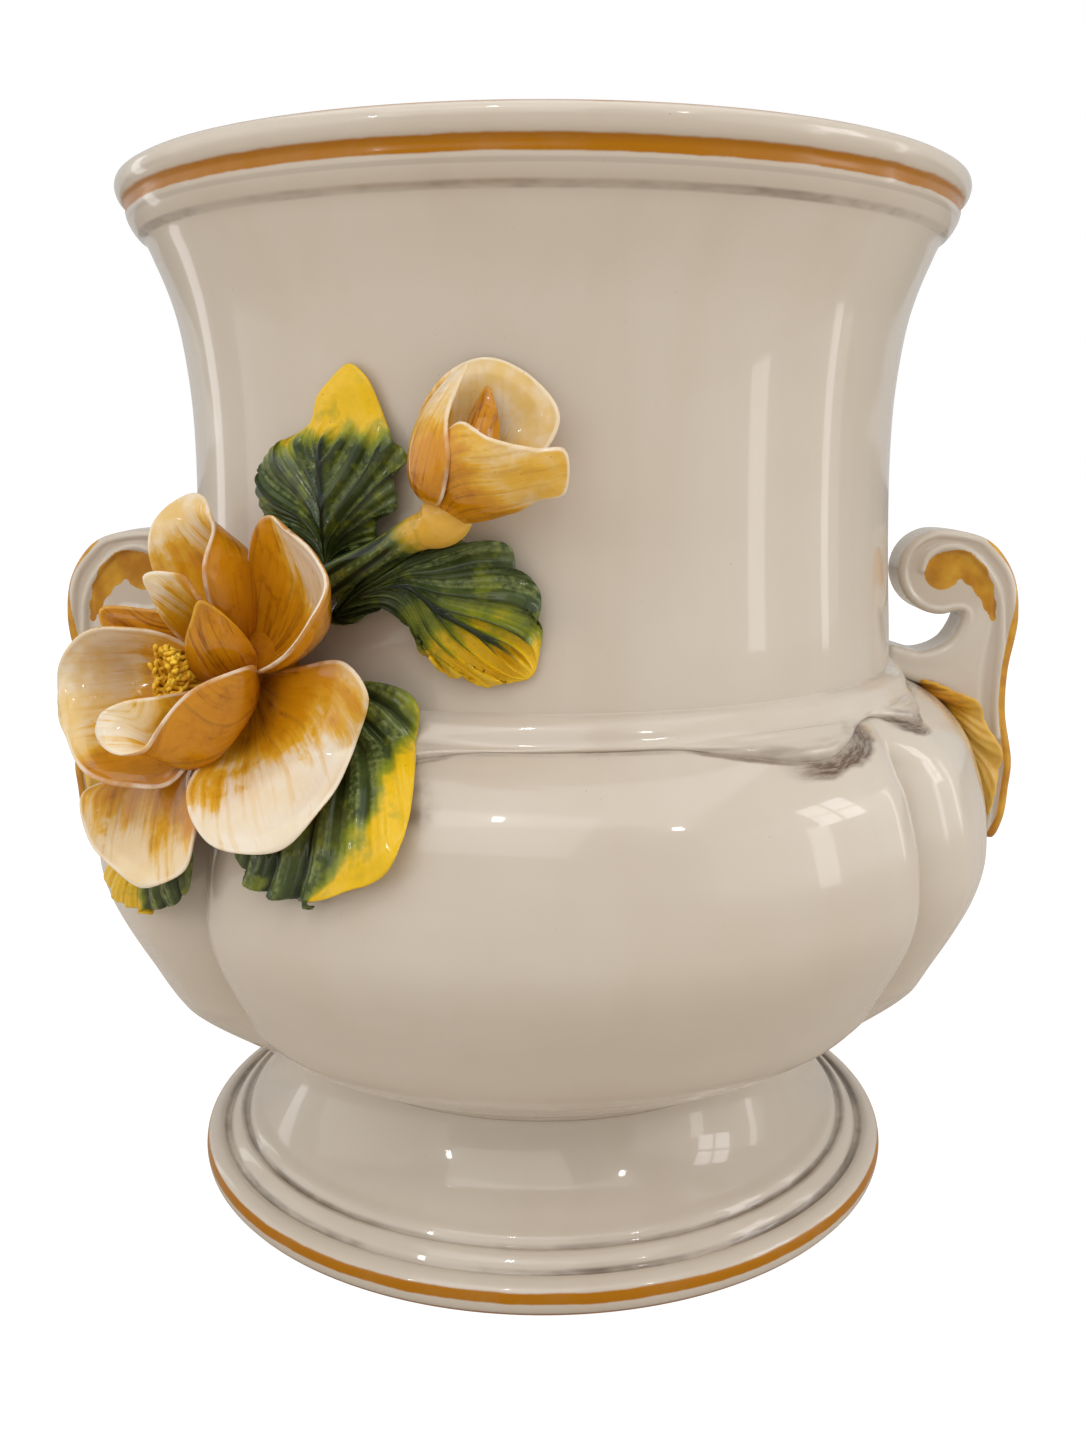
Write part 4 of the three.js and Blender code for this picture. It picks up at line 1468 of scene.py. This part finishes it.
@dataclass
class Handle:
    """A scroll handle and the ragged leaf under it."""

    form: PotForm
    side: int
    thickness: float = 20.0
    reach: float = 173.0
    drop: float = 61.0
    volute_radius: float = 15.5
    volute_clearance: float = 5.0
    volute_height: float = 36.4
    eye_radius: float = 6.4
    leaf_thickness: float = 3.5
    leaf_half_width: float = 14.0
    leaf_flare: float = 8.0
    edge_roll: float = 3.0
    gutter_depth: float = 1.3
    boss_height: float = 0.45
    ridge_height: float = 0.7
    face_dip: float = 0.5
    grain: float = 0.55

    @property
    def word(self) -> str:
        """left or right."""
        return "left" if self.side < 0 else "right"

    @property
    def eye(self) -> tuple[float, float]:
        """Middle of the volute, across and up."""
        across = self.form.neck_waist + 0.6 + self.volute_clearance + self.volute_radius
        return across, self.form.neck_bottom + self.volute_height

    def outer(self) -> Outline:
        """The outer edge of the scroll, from its foot up to the top of the volute.

        Returns:
            Points across and up.
        """
        r, seam = self.reach, self.form.neck_bottom
        rows = [(r - 9, -self.drop), (r - 5, -54), (r - 3, -42), (r - 2, -33), (r - 4.4, -15), (r - 3.7, 0),
                (r, 20), (r - 2, 36), (r - 11, 48)]
        return [(across, seam + up) for across, up in rows]

    def outline(self) -> np.ndarray:
        """The scroll seen from the front of the right handle.

        Returns:
            Points across and up, once round.
        """
        f, (x, z) = self.form, self.eye
        turns = np.radians(np.arange(90, 291, 20))
        volute = [(x + self.volute_radius * math.cos(t), z + self.volute_radius * math.sin(t)) for t in turns]
        hook = [(x + 8, z - 15), (x + 3, z - 24.9), (x - 7, z - 28.9), (f.neck_waist + 2.6, z - 27)]
        seam, shoulder = f.neck_bottom, f.neck_bottom - 3
        rest = [(f.neck_waist + 1, seam + GAP), (f.wall_radius(shoulder) + GAP, shoulder)]
        for above in (-7, -16, -26, -38, -50, 2 - self.drop):
            height = seam + above
            rest.append((f.wall_radius(height) + GAP + self.leaf_thickness + 0.2, height))
        return spline([*self.outer(), *volute, *hook, *rest], 420, closed=True)[:-1]

    def ridge(self) -> np.ndarray:
        """The fine line raised on the scroll's side, from round the eye down along the outer edge.

        Returns:
            Points across and up.
        """
        x, z = self.eye
        rows = [(-7, 1), (-5.5, 5.5), (-1, 8.6), (5, 9.2), (10.5, 7), (15.5, 2), (19.5, -4), (21.5, -11),
                (22, -20), (21.5, -31), (20.5, -41), (20, -50), (20.5, -60)]
        return spline([(x + across, z + up) for across, up in rows], 160)

    def scroll(self, glaze: bpy.types.Material) -> None:
        """The scroll: a slab whose sides are hollowed between a rolled edge, a fine ridge and the eye.

        Args:
            glaze: The scroll's material.
        """
        line = self.outline()
        half = self.thickness / 2
        sides = [np.stack([line[:, 0], np.full(len(line), y), line[:, 1]], axis=1) for y in (-half, half)]
        count = len(line)
        faces = loop_faces(2, count, False, True)
        faces += [tuple(range(count)), tuple(range(2 * count - 1, count - 1, -1))]
        slab = mesh_object(f"handle_{self.word}_form", np.vstack(sides), faces)
        piece = remeshed(slab, self.grain)
        places = np.empty(len(piece.data.vertices) * 3)
        piece.data.vertices.foreach_get("co", places)
        places, ochre, hollow = self._modelled(places.reshape(-1, 3) / MM, line)
        places[:, :2] *= self.side
        piece.data.vertices.foreach_set("co", (places * MM).ravel())
        for name, values in (("ochre", ochre), ("hollow", hollow)):
            piece.data.attributes.new(name, "FLOAT", "POINT").data.foreach_set("value", values)
        piece.data.update()
        dress(piece, glaze)

    def _modelled(self, places: np.ndarray, line: np.ndarray) -> tuple[np.ndarray, np.ndarray, np.ndarray]:
        """Moves the slab's sides in and out.

        Args:
            places: Vertices of the slab of the right handle.
            line: The scroll's outline.

        Returns:
            The moved vertices, how much each is ochre, and how deep in a hollow it lies, which the glaze
            darkens as painted shade.
        """
        x, z = self.eye
        flat = places[:, [0, 2]]
        inset = distance_to(flat, np.vstack([line, line[:1]]))
        rolled = distance_to(flat, spline(self.outer(), 160))
        to_ridge = distance_to(flat, self.ridge())
        from_eye = np.linalg.norm(flat - np.array(self.eye), axis=1)
        round_off = np.clip(inset / self.edge_roll, 0, 1)
        edge = self.edge_roll * (1 - np.sqrt(np.clip(1 - (1 - round_off) ** 2, 0, 1)))
        gutter = smooth_step(2.2, 4.2, rolled) * (1 - smooth_step(2.0, 0.6, to_ridge))
        near_volute = smooth_step(self.volute_radius + 8, self.volute_radius - 2, from_eye)
        outside = smooth_step(11.0, 8.0, rolled)
        hollowed = np.maximum(near_volute, outside * 0.9)
        dip = self.gutter_depth * gutter * smooth_step(2.0, 3.5, inset) * hollowed
        boss = self.boss_height * smooth_step(self.eye_radius + 1.0, self.eye_radius - 3.5, from_eye)
        line_up = self.ridge_height * smooth_step(1.3, 0.0, to_ridge) * smooth_step(1.5, 3.0, inset)
        belly = self.face_dip * smooth_step(3.0, 9.0, inset) * (1 - near_volute)
        depth = self.thickness / 2 - edge - dip + np.minimum(boss + line_up, dip + 0.4) - belly
        moved = places.copy()
        side = np.clip(np.abs(places[:, 1]) / (self.thickness / 2), 0, 1)
        moved[:, 1] = np.sign(places[:, 1]) * side * depth
        on_face = smooth_step(0.75, 0.95, side)
        eye_spot = smooth_step(self.eye_radius + 0.4, self.eye_radius - 0.4, from_eye)
        low = smooth_step(z - 4, z - 22, flat[:, 1])
        band = smooth_step(1.3 + 2.5 * low, 0.6 + 2.2 * low, rolled) * smooth_step(x - 2, x + 8, flat[:, 0])
        ochre = np.maximum(np.maximum(eye_spot, self._streak(flat)) * on_face, band)
        return moved, ochre, np.clip(dip / 1.5, 0, 1) * on_face

    def _streak(self, flat: np.ndarray) -> np.ndarray:
        """The ochre comma that runs from the eye over and down inside the ridge.

        Args:
            flat: Places on the scroll's side, out from the axis and up.

        Returns:
            How much of it each place has.
        """
        x, z = self.eye
        rows = [(0, 0), (3.5, 2.2), (8, 2.2), (12.5, -1.5), (16, -7.5), (18.8, -17)]
        path = spline([(x + across, z + up) for across, up in rows], 60)
        gap = np.linalg.norm(flat[:, None] - path[None, ::2], axis=2)
        nearest = gap.argmin(axis=1)
        share = nearest / (gap.shape[1] - 1)
        width = 6.3 - 4.9 * share**1.15 + 0.3 * np.sin(share * 31)
        return smooth_step(width + 0.5, width - 0.4, gap.min(axis=1))

    def leaf(self, glaze: bpy.types.Material) -> None:
        """The ragged leaf under the scroll's foot, whose edges flare up along its sides.

        Args:
            glaze: The leaf's material.
        """
        handle = self

        class Saddle:
            """Points up from the seam, across the handle, and out from the shoulder."""

            def at(self, point: Point) -> tuple[float, float, float]:
                """The point in the pot's own frame.

                Args:
                    point: Millimetres up from the seam, across the handle and out from the shoulder.

                Returns:
                    X, Y and Z in millimetres.
                """
                up, across, out = point
                height = handle.form.neck_bottom + up
                radius = handle.form.wall_radius(height) + GAP + handle.leaf_thickness / 2 + out
                return (handle.side * radius, -handle.side * across, height)

        w, f = self.leaf_half_width, self.leaf_flare
        rows = [(-4, 0.85, 0.6), (-11, 1, 1.15), (-20, 1, 0.85), (-30, 1, 0.95), (-38, 1, 0.65),
                (-47, 0.9, 0.45)]
        sheet = Sheet(
            name=f"handle_leaf_{self.word}", root=(-1.5, 0, 1.5), tip=(1 - self.drop, 0, 2),
            left=[(up, -w * wide, f * raised) for up, wide, raised in rows],
            spine=[(-12, 0, 0), (-30, 0, 0), (-46, 0, 0)],
            right=[(up, w * wide, f * raised) for up, wide, raised in rows],
            thickness=self.leaf_thickness - 0.4, veins=Veins.FEATHER, pleats=4.5, pleat_depth=1.2, lobes=2.3,
            frill=0.6, fine_veins=0.16, along=190, across=130,
        )
        dress(sheet.build(Saddle()), glaze)


@dataclass
class Flower:
    """The open flower: its heart, petals and stamens."""

    seat: Seat
    heart_radius: float = 12.0
    stamen_radius: float = 0.62
    stamen_count: int = 84
    stamen_turn: float = 2.4
    tuft_half_width: float = 6.6
    tuft_half_height: float = 9.8

    petals: tuple[Sheet, ...] = field(default_factory=lambda: (
        Sheet("petal_front_cup", (1, -3, 11), (-3, -15, 57),
              [(-0.5, -6, 28), (0, -6, 44), (-1.5, -7, 52), (-2.5, -10, 56)],
              [(4.5, -13, 22), (2.5, -25, 17), (0, -25, 30), (-2, -20, 46)],
              [(6.5, 2, 26), (3.5, -4, 40), (2, -13, 47), (1.5, -19, 51), (0, -20, 54)],
              frill=0.35, wash=Wash.CUPPED),
        Sheet("petal_inner_fold", (1.5, -6, 14), (1, 20, 31), [(-2, -4, 26), (-1.5, 6, 31), (0, 14, 32)],
              [(2, 2, 23), (1.5, 10, 28)], [(3.5, 2, 15), (2.5, 12, 21)], wash=Wash.FULL),
        Sheet("petal_inner_small", (-2, 0, 14), (-3.5, 27, 41), [(-4, 4, 24), (-4, 12, 33), (-3.5, 19, 38)],
              [(-2, 8, 19), (-2.5, 18, 28)], [(0.5, 8, 18), (0.5, 18, 28), (0, 27, 35)],
              frill=0.25, wash=Wash.CUPPED),
        Sheet("petal_right_cup", (0.5, -4, 9), (11, 40, 22),
              [(-1.5, 6, 9), (-1.5, 21, 10), (0.5, 34, 12), (4, 43, 14)],
              [(8, 7, 8), (13, 20, 13), (12, 31, 14)],
              [(5.5, -1, 20), (13.5, 7, 33), (17.5, 16, 38), (19, 26, 36), (17, 33, 30)],
              frill=0.35, wash=Wash.LEFT_EDGE),
        Sheet("petal_top", (-1.5, -1, 9), (-7.5, 49, 16),
              [(-9, 13, 22), (-10.5, 29, 29), (-11, 39, 28), (-11, 46, 22)], [(-1, 18, 8), (-3.5, 34, 8)],
              [(-0.5, 16, 24), (-0.5, 28, 27), (-2.5, 40, 20)], frill=0.3, wash=Wash.TIPPED),
        Sheet("petal_left", (-3.5, -4, 12), (-16, -14, 51), [(-7, 8, 29), (-11, 10, 43), (-14, 3, 51)],
              [(-9, -9, 20), (-14, -12, 32)],
              [(1.5, -30, 21), (-2, -31, 27), (-5.5, -28, 37), (-10.5, -22, 46)],
              frill=0.4, wash=Wash.RIGHT_EDGE),
        Sheet("petal_lower_right", (0, -5, 9), (17, -40, 18),
              [(1.5, -24, 17), (3.5, -32, 19), (8, -42, 18), (12, -44, 17)],
              [(4.5, -19, 15), (12.5, -29, 12)],
              [(11.5, 2, 19), (19, 5, 25), (22, -3, 28), (20, -18, 25), (20, -29, 21)],
              frill=0.4, veins=Veins.FAN, pleats=3.0, pleat_depth=0.35, wash=Wash.LOW),
        Sheet("petal_lower_left", (-3, -12, 6), (1, -58, 17),
              [(-11, -34, 12), (-14, -41, 18), (-8.5, -50, 20), (-3.5, -55, 19)],
              [(-5, -35, 8), (-3, -49, 9)], [(-0.5, -30, 9), (4.5, -41, 12), (4.5, -52, 14)],
              frill=0.4, veins=Veins.FAN, pleats=6.0, pleat_depth=0.8, wash=Wash.STREAKED),
        Sheet("petal_back", (-3.5, 2, 9), (-18.5, 13, 37), [(-10.5, 11, 15), (-15.5, 13, 24)],
              [(-11.5, 2, 13), (-16.5, 4, 27)], [(-11, -9, 15), (-16.5, -6, 29)], wash=Wash.FULL),
    ))

    def build(self, dark: bpy.types.Material, gold: bpy.types.Material) -> None:
        """Makes and dresses every piece of the flower: the heart dark, the stamens gold.

        Args:
            dark: Material of the heart.
            gold: Material of the tuft.
        """
        for petal in self.petals:
            lay_petal(petal, self.seat)
        dress(self.heart(), dark)
        dress(self.stamens(), gold)

    def heart(self) -> bpy.types.Object:
        """The pad of clay that the petals are luted to.

        Returns:
            The object.
        """
        turns, tilts = np.linspace(0, 2 * np.pi, 64, endpoint=False), np.linspace(-np.pi / 2, np.pi / 2, 33)
        a, t = np.meshgrid(turns, tilts, indexing="ij")
        r = self.heart_radius * (1 + 0.03 * np.sin(3 * a) * np.cos(t))
        ball = np.stack([r * np.cos(t) * np.cos(a), r * np.cos(t) * np.sin(a), r * np.sin(t)], axis=-1)
        centre = np.array(self.seat.at((-1, -2, 3)))
        in_throat = np.tile((0.1, 0.5), (ball.size // 3, 1))
        faces = loop_faces(len(turns), len(tilts), True, False)
        marks = {"outer": np.ones(len(in_throat))}
        return mesh_object("flower_heart_form", ball.reshape(-1, 3) + centre, faces, in_throat, marks)

    def tuft(self, side: float, up: float, out: float) -> np.ndarray:
        """A place in the tuft: millimetres to the right of its middle, up, and out from the wall."""
        reach = self.seat.form.wall_radius(self.seat.height) + out
        return np.array(self.seat.at((-3.7 + math.degrees(side / reach), up - 4.8, out)))

    def curl(self, k: int, side: float, up: float, reach: float, lead: float, phase: float) -> np.ndarray:
        """One place along the curled end of a thread.

        Args:
            k: Which place it is, from 1.
            side: How far to the right the thread stands, in millimetres.
            up: How far up it stands.
            reach: How far out in the tuft it stands, from 0 to 1.
            lead: How much it leans to the right.
            phase: Where in its turn the curl starts.

        Returns:
            The place in the pot's own frame.
        """
        out = 28.5 + 1.15 * k * reach + 0.5 * k
        place = self.tuft(side * 0.85 + 0.9 * k * lead * 0.6, up * 0.9 + 0.5 * k, out)
        level = 0.7 * math.cos(phase + 1.3 * k)
        return place + 1.25 * np.array([math.sin(phase + 1.9 * k), level, math.cos(phase + 1.9 * k)])

    def stamens(self) -> bpy.types.Object:
        """Short curling threads on a pad.

        Returns:
            The object.
        """
        chance = np.random.default_rng(7)
        bars = []
        for i in range(self.stamen_count):
            turn, reach = self.stamen_turn * i, math.sqrt((i + 0.5) / self.stamen_count)
            side = self.tuft_half_width * reach * math.cos(turn)
            up = self.tuft_half_height * reach * math.sin(turn)
            stem = [self.tuft(side * 0.5, up * 0.55, 22), self.tuft(side * 0.8, up * 0.85, 27)]
            lead, phase = chance.uniform(0.6, 1.4), chance.uniform(0, 2 * math.pi)
            curls = [self.curl(k, side, up, reach, lead, phase) for k in range(1, 6)]
            thread = spline([*stem, *curls], 34)
            bars.append(bar(thread, self.stamen_radius * np.append(np.linspace(0.95, 1.1, 33), 0.6), 9))
        pad = spline([self.tuft(1, 1, 11), self.tuft(0, 0, 20), self.tuft(0, 0, 27)], 16)
        bars.append(bar(pad, np.array([3.5] * 6 + [4.2, 4.9, 5.4, 5.7, 5.7, 5.5, 5.0, 4.2, 2.8, 0.8]), 24))
        faces: list[tuple[int, ...]] = []
        base = 0
        for points, bar_faces in bars:
            faces += [tuple(base + k for k in face) for face in bar_faces]
            base += len(points)
        return mesh_object("stamen_tuft_form", np.vstack([points for points, _ in bars]), faces)


@dataclass
class Bud:
    """The half-open bud and its stem."""

    seat: Seat
    stem_radius: float = 5.0
    calyx_radius: float = 7.5
    middle: Point = (32, 66, 18)

    petals: tuple[Sheet, ...] = field(default_factory=lambda: (
        Sheet("bud_petal_front", (28.5, 44, 15), (42.5, 56, 32),
              [(27.5, 55, 23), (31.5, 70, 27), (35, 66, 32), (39.5, 63, 34), (42, 63, 34)],
              [(31.5, 52, 27), (37.5, 54, 31)], [(32, 43, 18), (36.5, 46, 22), (40, 50, 28), (42, 51, 31)],
              thickness=3.0, frill=0.3, wash=Wash.BUD),
        Sheet("bud_petal_left", (27.5, 47, 14), (31.5, 86, 11), [(26, 56, 18), (26, 68, 18), (28.5, 80, 12)],
              [(27, 54, 25), (28, 67, 24)], [(30, 50, 27), (31, 60, 30), (30.5, 71, 26), (31, 80, 18)],
              wash=Wash.BUD),
        Sheet("bud_core", (30, 49, 11), (33.5, 80, 9), [(30, 59, 11), (31.5, 71, 10)],
              [(32, 58, 18), (33, 70, 17)], [(34, 57, 14), (35, 69, 12)], wash=Wash.FULL),
        Sheet("bud_petal_back", (28.5, 46, 11), (33.5, 88, 3), [(25.5, 61, 12), (25.5, 74, 9), (29, 85, 5)],
              [(32, 59, 6), (34, 74, 4)], [(35, 54, 14), (40.5, 63, 13), (42, 72, 10), (38.5, 83, 5)],
              frill=0.3, wash=Wash.PALE),
    ))

    def build(self) -> None:
        """Makes and dresses the bud's petals and stem."""
        for petal in self.petals:
            petal.inside = self.middle
            lay_petal(petal, self.seat)
        cup = LeafGlaze("stem_glaze", Lean.CALYX, ripe=(0.74, 0.42, 0.06), lime=(0.30, 0.24, 0.02)).make()
        dress(self.stem(), cup)

    def stem(self) -> bpy.types.Object:
        """A stem that swells into the cup under the bud. Its grooves are in the glaze alone, as painted shade
        in them and painted light between them.

        Returns:
            The object.
        """
        rows = ((30.5, 50, 17), (28.5, 43, 14), (24.5, 39, 11), (19, 32, 9), (11, 24, 6))
        steps, sides = 90, 48
        path = spline([self.seat.at(p) for p in rows], steps)
        way = np.linspace(0, 1, steps)
        swollen = np.sqrt(np.clip(1 - ((np.minimum(way, 0.16) - 0.16) / 0.172) ** 2, 0, 1))
        narrowing = smooth_step(0.10, 0.38, way)
        cup = swollen * (self.calyx_radius * (1 - narrowing) + self.stem_radius * 0.9 * narrowing)
        stalk = self.stem_radius * (1 + 0.10 * np.sin(way * 9)) * smooth_step(0.1, 0.3, way)
        radius = np.maximum(np.maximum(cup, stalk), 0.4)
        points, faces = bar(path, radius, sides)
        along = np.repeat(way, sides)
        uv = np.stack([along, np.tile(np.linspace(0, 1, sides), steps)], axis=1)
        turn = np.tile(np.linspace(0, 2 * np.pi, sides, endpoint=False), steps)
        # The grooves exist only in this mark, which the glaze paints as shade in them and light between them.
        groove = smooth_step(0.36, 0.52, along) * (0.5 - 0.5 * np.cos(turn * 7 + along * 9))
        return mesh_object("bud_stem_form", points, faces, uv, {"groove": groove})


@dataclass
class Foliage:
    """The four leaves behind the flowers."""

    seat: Seat
    thickness: float = 3.4
    along: int = 190
    across: int = 130

    leaves: tuple[tuple[Sheet, Lean], ...] = field(default_factory=lambda: (
        (Sheet("leaf_upper", (11, 29, 5), (14.5, 87, 4),
               [(5.5, 37, 5), (0, 44, 5), (-1.5, 54, 5), (2, 63, 5), (8, 70, 5), (9.5, 78, 5), (12, 84, 4)],
               [(11, 42, 5), (11, 62, 5), (12.5, 77, 5)],
               [(18, 40, 7), (20.5, 49, 7), (21.5, 59, 6), (20.5, 66, 6), (19, 74, 5), (17, 83, 5)],
               veins=Veins.FEATHER, pleats=5.5, pleat_depth=2.1, lobes=2.9, plain_from=0.58, slant=0.55,
               fine_veins=0.20), Lean.TIP),
        (Sheet("leaf_right", (10, 12, 4), (38.5, -1, 4),
               [(15, 22, 9), (21.5, 31, 10), (27, 36, 8), (32.5, 37, 7), (36, 32, 6), (38.5, 23, 5),
                (39.5, 10, 4)],
               [(19, 23, 10), (23.5, 25, 10), (27.5, 18, 8), (33.5, 7, 6)],
               [(15.5, 13, 7), (20.5, 19, 7), (23.5, 14, 6), (25.5, 5, 6), (29, 0, 5), (34, -2, 4)],
               veins=Veins.FEATHER, pleats=6.5, pleat_depth=2.0, lobes=2.7, lobes_from=0.36, plain_from=0.84,
               slant=0.50, fine_veins=0.20), Lean.TIP_AND_RIGHT),
        (Sheet("leaf_lower_right", (7, -11, 3.5), (17, -57, 5),
               [(7, -25, 3.5), (8, -39, 5), (9.5, -51, 5), (12.5, -56, 5)], [(16, -25, 4.5), (18.5, -41, 6)],
               [(17.5, -5, 6), (23.5, -8, 7.5), (24, -18, 7), (26, -26, 6), (26.5, -40, 6), (25, -48, 6),
                (21.5, -53, 6)],
               veins=Veins.FAN, pleats=20.0, pleat_depth=1.7, lobes=2.2, frill=0.9, plain_right=0.0,
               fine_veins=0.16), Lean.RIGHT),
        (Sheet("leaf_lower_left", (-5, -49, 5), (-5.5, -71, 5), [(-12, -60, 5), (-14, -68, 5), (-11, -72, 5)],
               [(-4, -58, 6)], [(2, -49, 6), (2.5, -59, 6), (-0.5, -66, 5)],
               veins=Veins.FAN, pleats=9.0, pleat_depth=1.3, lobes=1.5, fine_veins=0.16), Lean.LEFT),
    ))

    def build(self) -> None:
        """Makes and dresses every leaf."""
        for leaf, lean in self.leaves:
            leaf.thickness = self.thickness
            leaf.along, leaf.across = self.along, self.across
            dress(leaf.build(self.seat), LeafGlaze(f"{leaf.name}_glaze", lean).make())


# Camera, light and floor


@dataclass(frozen=True)
class Studio:
    """A pale floor, soft lamps and the photograph's point of view."""

    distance: float = 0.5162
    eye_height: float = 0.2521
    pitch: float = 2.0
    focal_pixels: float = 1403.2
    drop_pixels: float = 234.5
    sensor: float = 36.0

    def camera(self) -> None:
        """A camera where the photographer's was."""
        lens = bpy.data.cameras.new("camera")
        lens.sensor_fit = "VERTICAL"
        lens.sensor_height = self.sensor
        lens.sensor_width = self.sensor * PHOTO_WIDTH / PHOTO_HEIGHT
        lens.lens = self.sensor * self.focal_pixels / PHOTO_HEIGHT
        lens.shift_y = -self.drop_pixels / PHOTO_HEIGHT
        lens.clip_start = 0.01
        eye = bpy.data.objects.new("camera", lens)
        eye.location = (0, -self.distance, self.eye_height)
        eye.rotation_euler = (math.radians(90 - self.pitch), 0, 0)
        bpy.context.scene.collection.objects.link(eye)
        bpy.context.scene.camera = eye

    def lamp(self, name: str, place: Point, aim: Point, size: tuple[float, float], power: float) -> None:
        """A soft rectangular lamp.

        Args:
            name: The lamp's name.
            place: Where it stands, in metres.
            aim: What it faces, in metres.
            size: Its width and height, in metres.
            power: Its power, in watts.
        """
        light = bpy.data.lights.new(name, "AREA")
        light.shape = "RECTANGLE"
        light.size, light.size_y = size
        light.energy = power
        thing = bpy.data.objects.new(name, light)
        thing.location = place
        thing.rotation_euler = (Vector(aim) - Vector(place)).to_track_quat("-Z", "Y").to_euler()
        bpy.context.scene.collection.objects.link(thing)

    def panes(
        self, name: str, place: Point, aim: Point, size: tuple[float, float], bar_width: float, power: float
    ) -> None:
        """A window of two by two panes, with bars between them.

        Args:
            name: The window's name.
            place: Its middle, in metres.
            aim: What it faces, in metres.
            size: Width and height of one pane, in metres.
            bar_width: Width of the bars between the panes, in metres.
            power: The power of one pane, in watts.
        """
        ahead = np.subtract(aim, place) / np.linalg.norm(np.subtract(aim, place))
        aside = np.cross(ahead, (0.0, 0.0, 1.0))
        aside /= np.linalg.norm(aside)
        over = np.cross(aside, ahead)
        for column in (-1, 1):
            for row in (-1, 1):
                shift = column * (size[0] + bar_width) / 2 * aside + row * (size[1] + bar_width) / 2 * over
                corner = tuple(float(x) for x in np.array(place) + shift)
                facing = tuple(float(x) for x in np.array(aim) + shift)
                self.lamp(f"{name}_{column}_{row}", corner, facing, size, power)

    def lights(self) -> None:
        """Lamps above and in front, fills at both sides, windows, and three sparks for the glints."""
        middle = (0.0, 0.0, 0.18)
        self.lamp("front", (-0.45, -1.65, 1.35), middle, (1.7, 1.5), 9.5)
        self.lamp("overhead", (0, -0.35, 1.7), middle, (2.2, 2.2), 15.0)
        self.lamp("right_fill", (1.60, -0.55, 0.15), middle, (2.2, 1.6), 6.0)
        self.lamp("left_fill", (-1.50, -0.50, 0.30), middle, (2.0, 1.6), 5.0)
        self.lamp("window", (1.43, -0.62, 0.27), middle, (0.17, 0.50), 0.6)
        self.lamp("tall_window", (1.55, 0.16, 0.36), middle, (0.10, 0.80), 0.5)
        self.lamp("back_window", (-1.25, 0.75, 0.34), middle, (0.16, 0.8), 0.5)
        self.lamp("spark", (0.75, -1.10, 1.00), middle, (0.06, 0.10), 0.7)
        self.lamp("spark_left", (-0.95, -1.15, 0.70), middle, (0.05, 0.14), 0.7)
        self.lamp("spark_above", (-0.25, -1.05, 1.35), middle, (0.06, 0.12), 0.7)
        self.panes("pane", (1.36, -0.36, 0.70), middle, (0.18, 0.22), 0.03, 0.50)

    def world(self) -> None:
        """White for the camera. On the pot it is a soft light, brightest at both sides."""
        world = bpy.data.worlds.new("studio")
        bpy.context.scene.world = world
        world.use_nodes = True
        sky = NodeTree(world.node_tree)
        aside, back, _ = sky.split(sky.node("ShaderNodeTexCoord", {}, {}, "Generated"))
        room = sky.glow("ShaderNodeBackground", (1.0, 0.975, 0.935), 0.38)
        bright = sky.glow("ShaderNodeBackground", (1.0, 0.98, 0.95), 0.80)
        white = sky.glow("ShaderNodeBackground", (1.0, 1.0, 1.0), 1.0)
        lit = sky.blend((back.rise(0.0, 0.7) * 0.45).highest(abs(aside).rise(0.35, 1.0)), room, bright)
        output = sky.tree.nodes.new("ShaderNodeOutputWorld")
        sky.feed(output.inputs[0], sky.blend(sky.seen_by_camera(), lit, white))

    def floor(self) -> None:
        """A pale floor that keeps the pot's shadow and is white to the camera elsewhere."""
        size = 6000.0
        corners = np.array([(-size, -size, 0), (size, -size, 0), (size, size, 0), (-size, size, 0)])
        floor = mesh_object("floor", corners, [(0, 1, 2, 3)])
        s = Shader("floor")
        s.set(Base_Color=(0.62, 0.57, 0.51), Roughness=0.9)
        glow = s.glow("ShaderNodeEmission", (1.0, 1.0, 1.0), 1.8)
        s.feed(s.output.inputs[0], s.blend(s.seen_by_camera() * 0.5, Socket(s, s.surface.outputs[0]), glow))
        floor.data.materials.append(s.material)

    def build(self) -> None:
        """Sets up the whole studio."""
        self.camera()
        self.lights()
        self.world()
        self.floor()
        bpy.context.scene.view_settings.view_transform = "Standard"


def main() -> None:
    """Builds the pot and its spray round the frame."""
    logging.basicConfig(level=logging.INFO, format="%(name)s: %(message)s")
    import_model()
    Studio().build()
    form = PotForm()
    Pot(form).build(IvoryGlaze(form).make())
    matt = Gloss(0.6, 0.0, shine=0.05)
    dark = PetalGlaze("heart_glaze", Wash.FULL, ground=AMBER, edge=AMBER, gloss=matt).make()
    gold = PetalGlaze("gold_leaf_glaze", Wash.GOLDEN, ground=HONEY, edge=HONEY).make()
    handle_glaze = HandleGlaze().make()
    for side in (-1, 1):
        handle = Handle(form, side)
        handle.leaf(gold)
        handle.scroll(handle_glaze)
    spray = Seat(form, -40.0, form.neck_bottom + 19.0)
    Flower(spray).build(dark, StamenGlaze().make())
    Bud(spray).build()
    Foliage(spray).build()


if __name__ == "__main__":
    main()
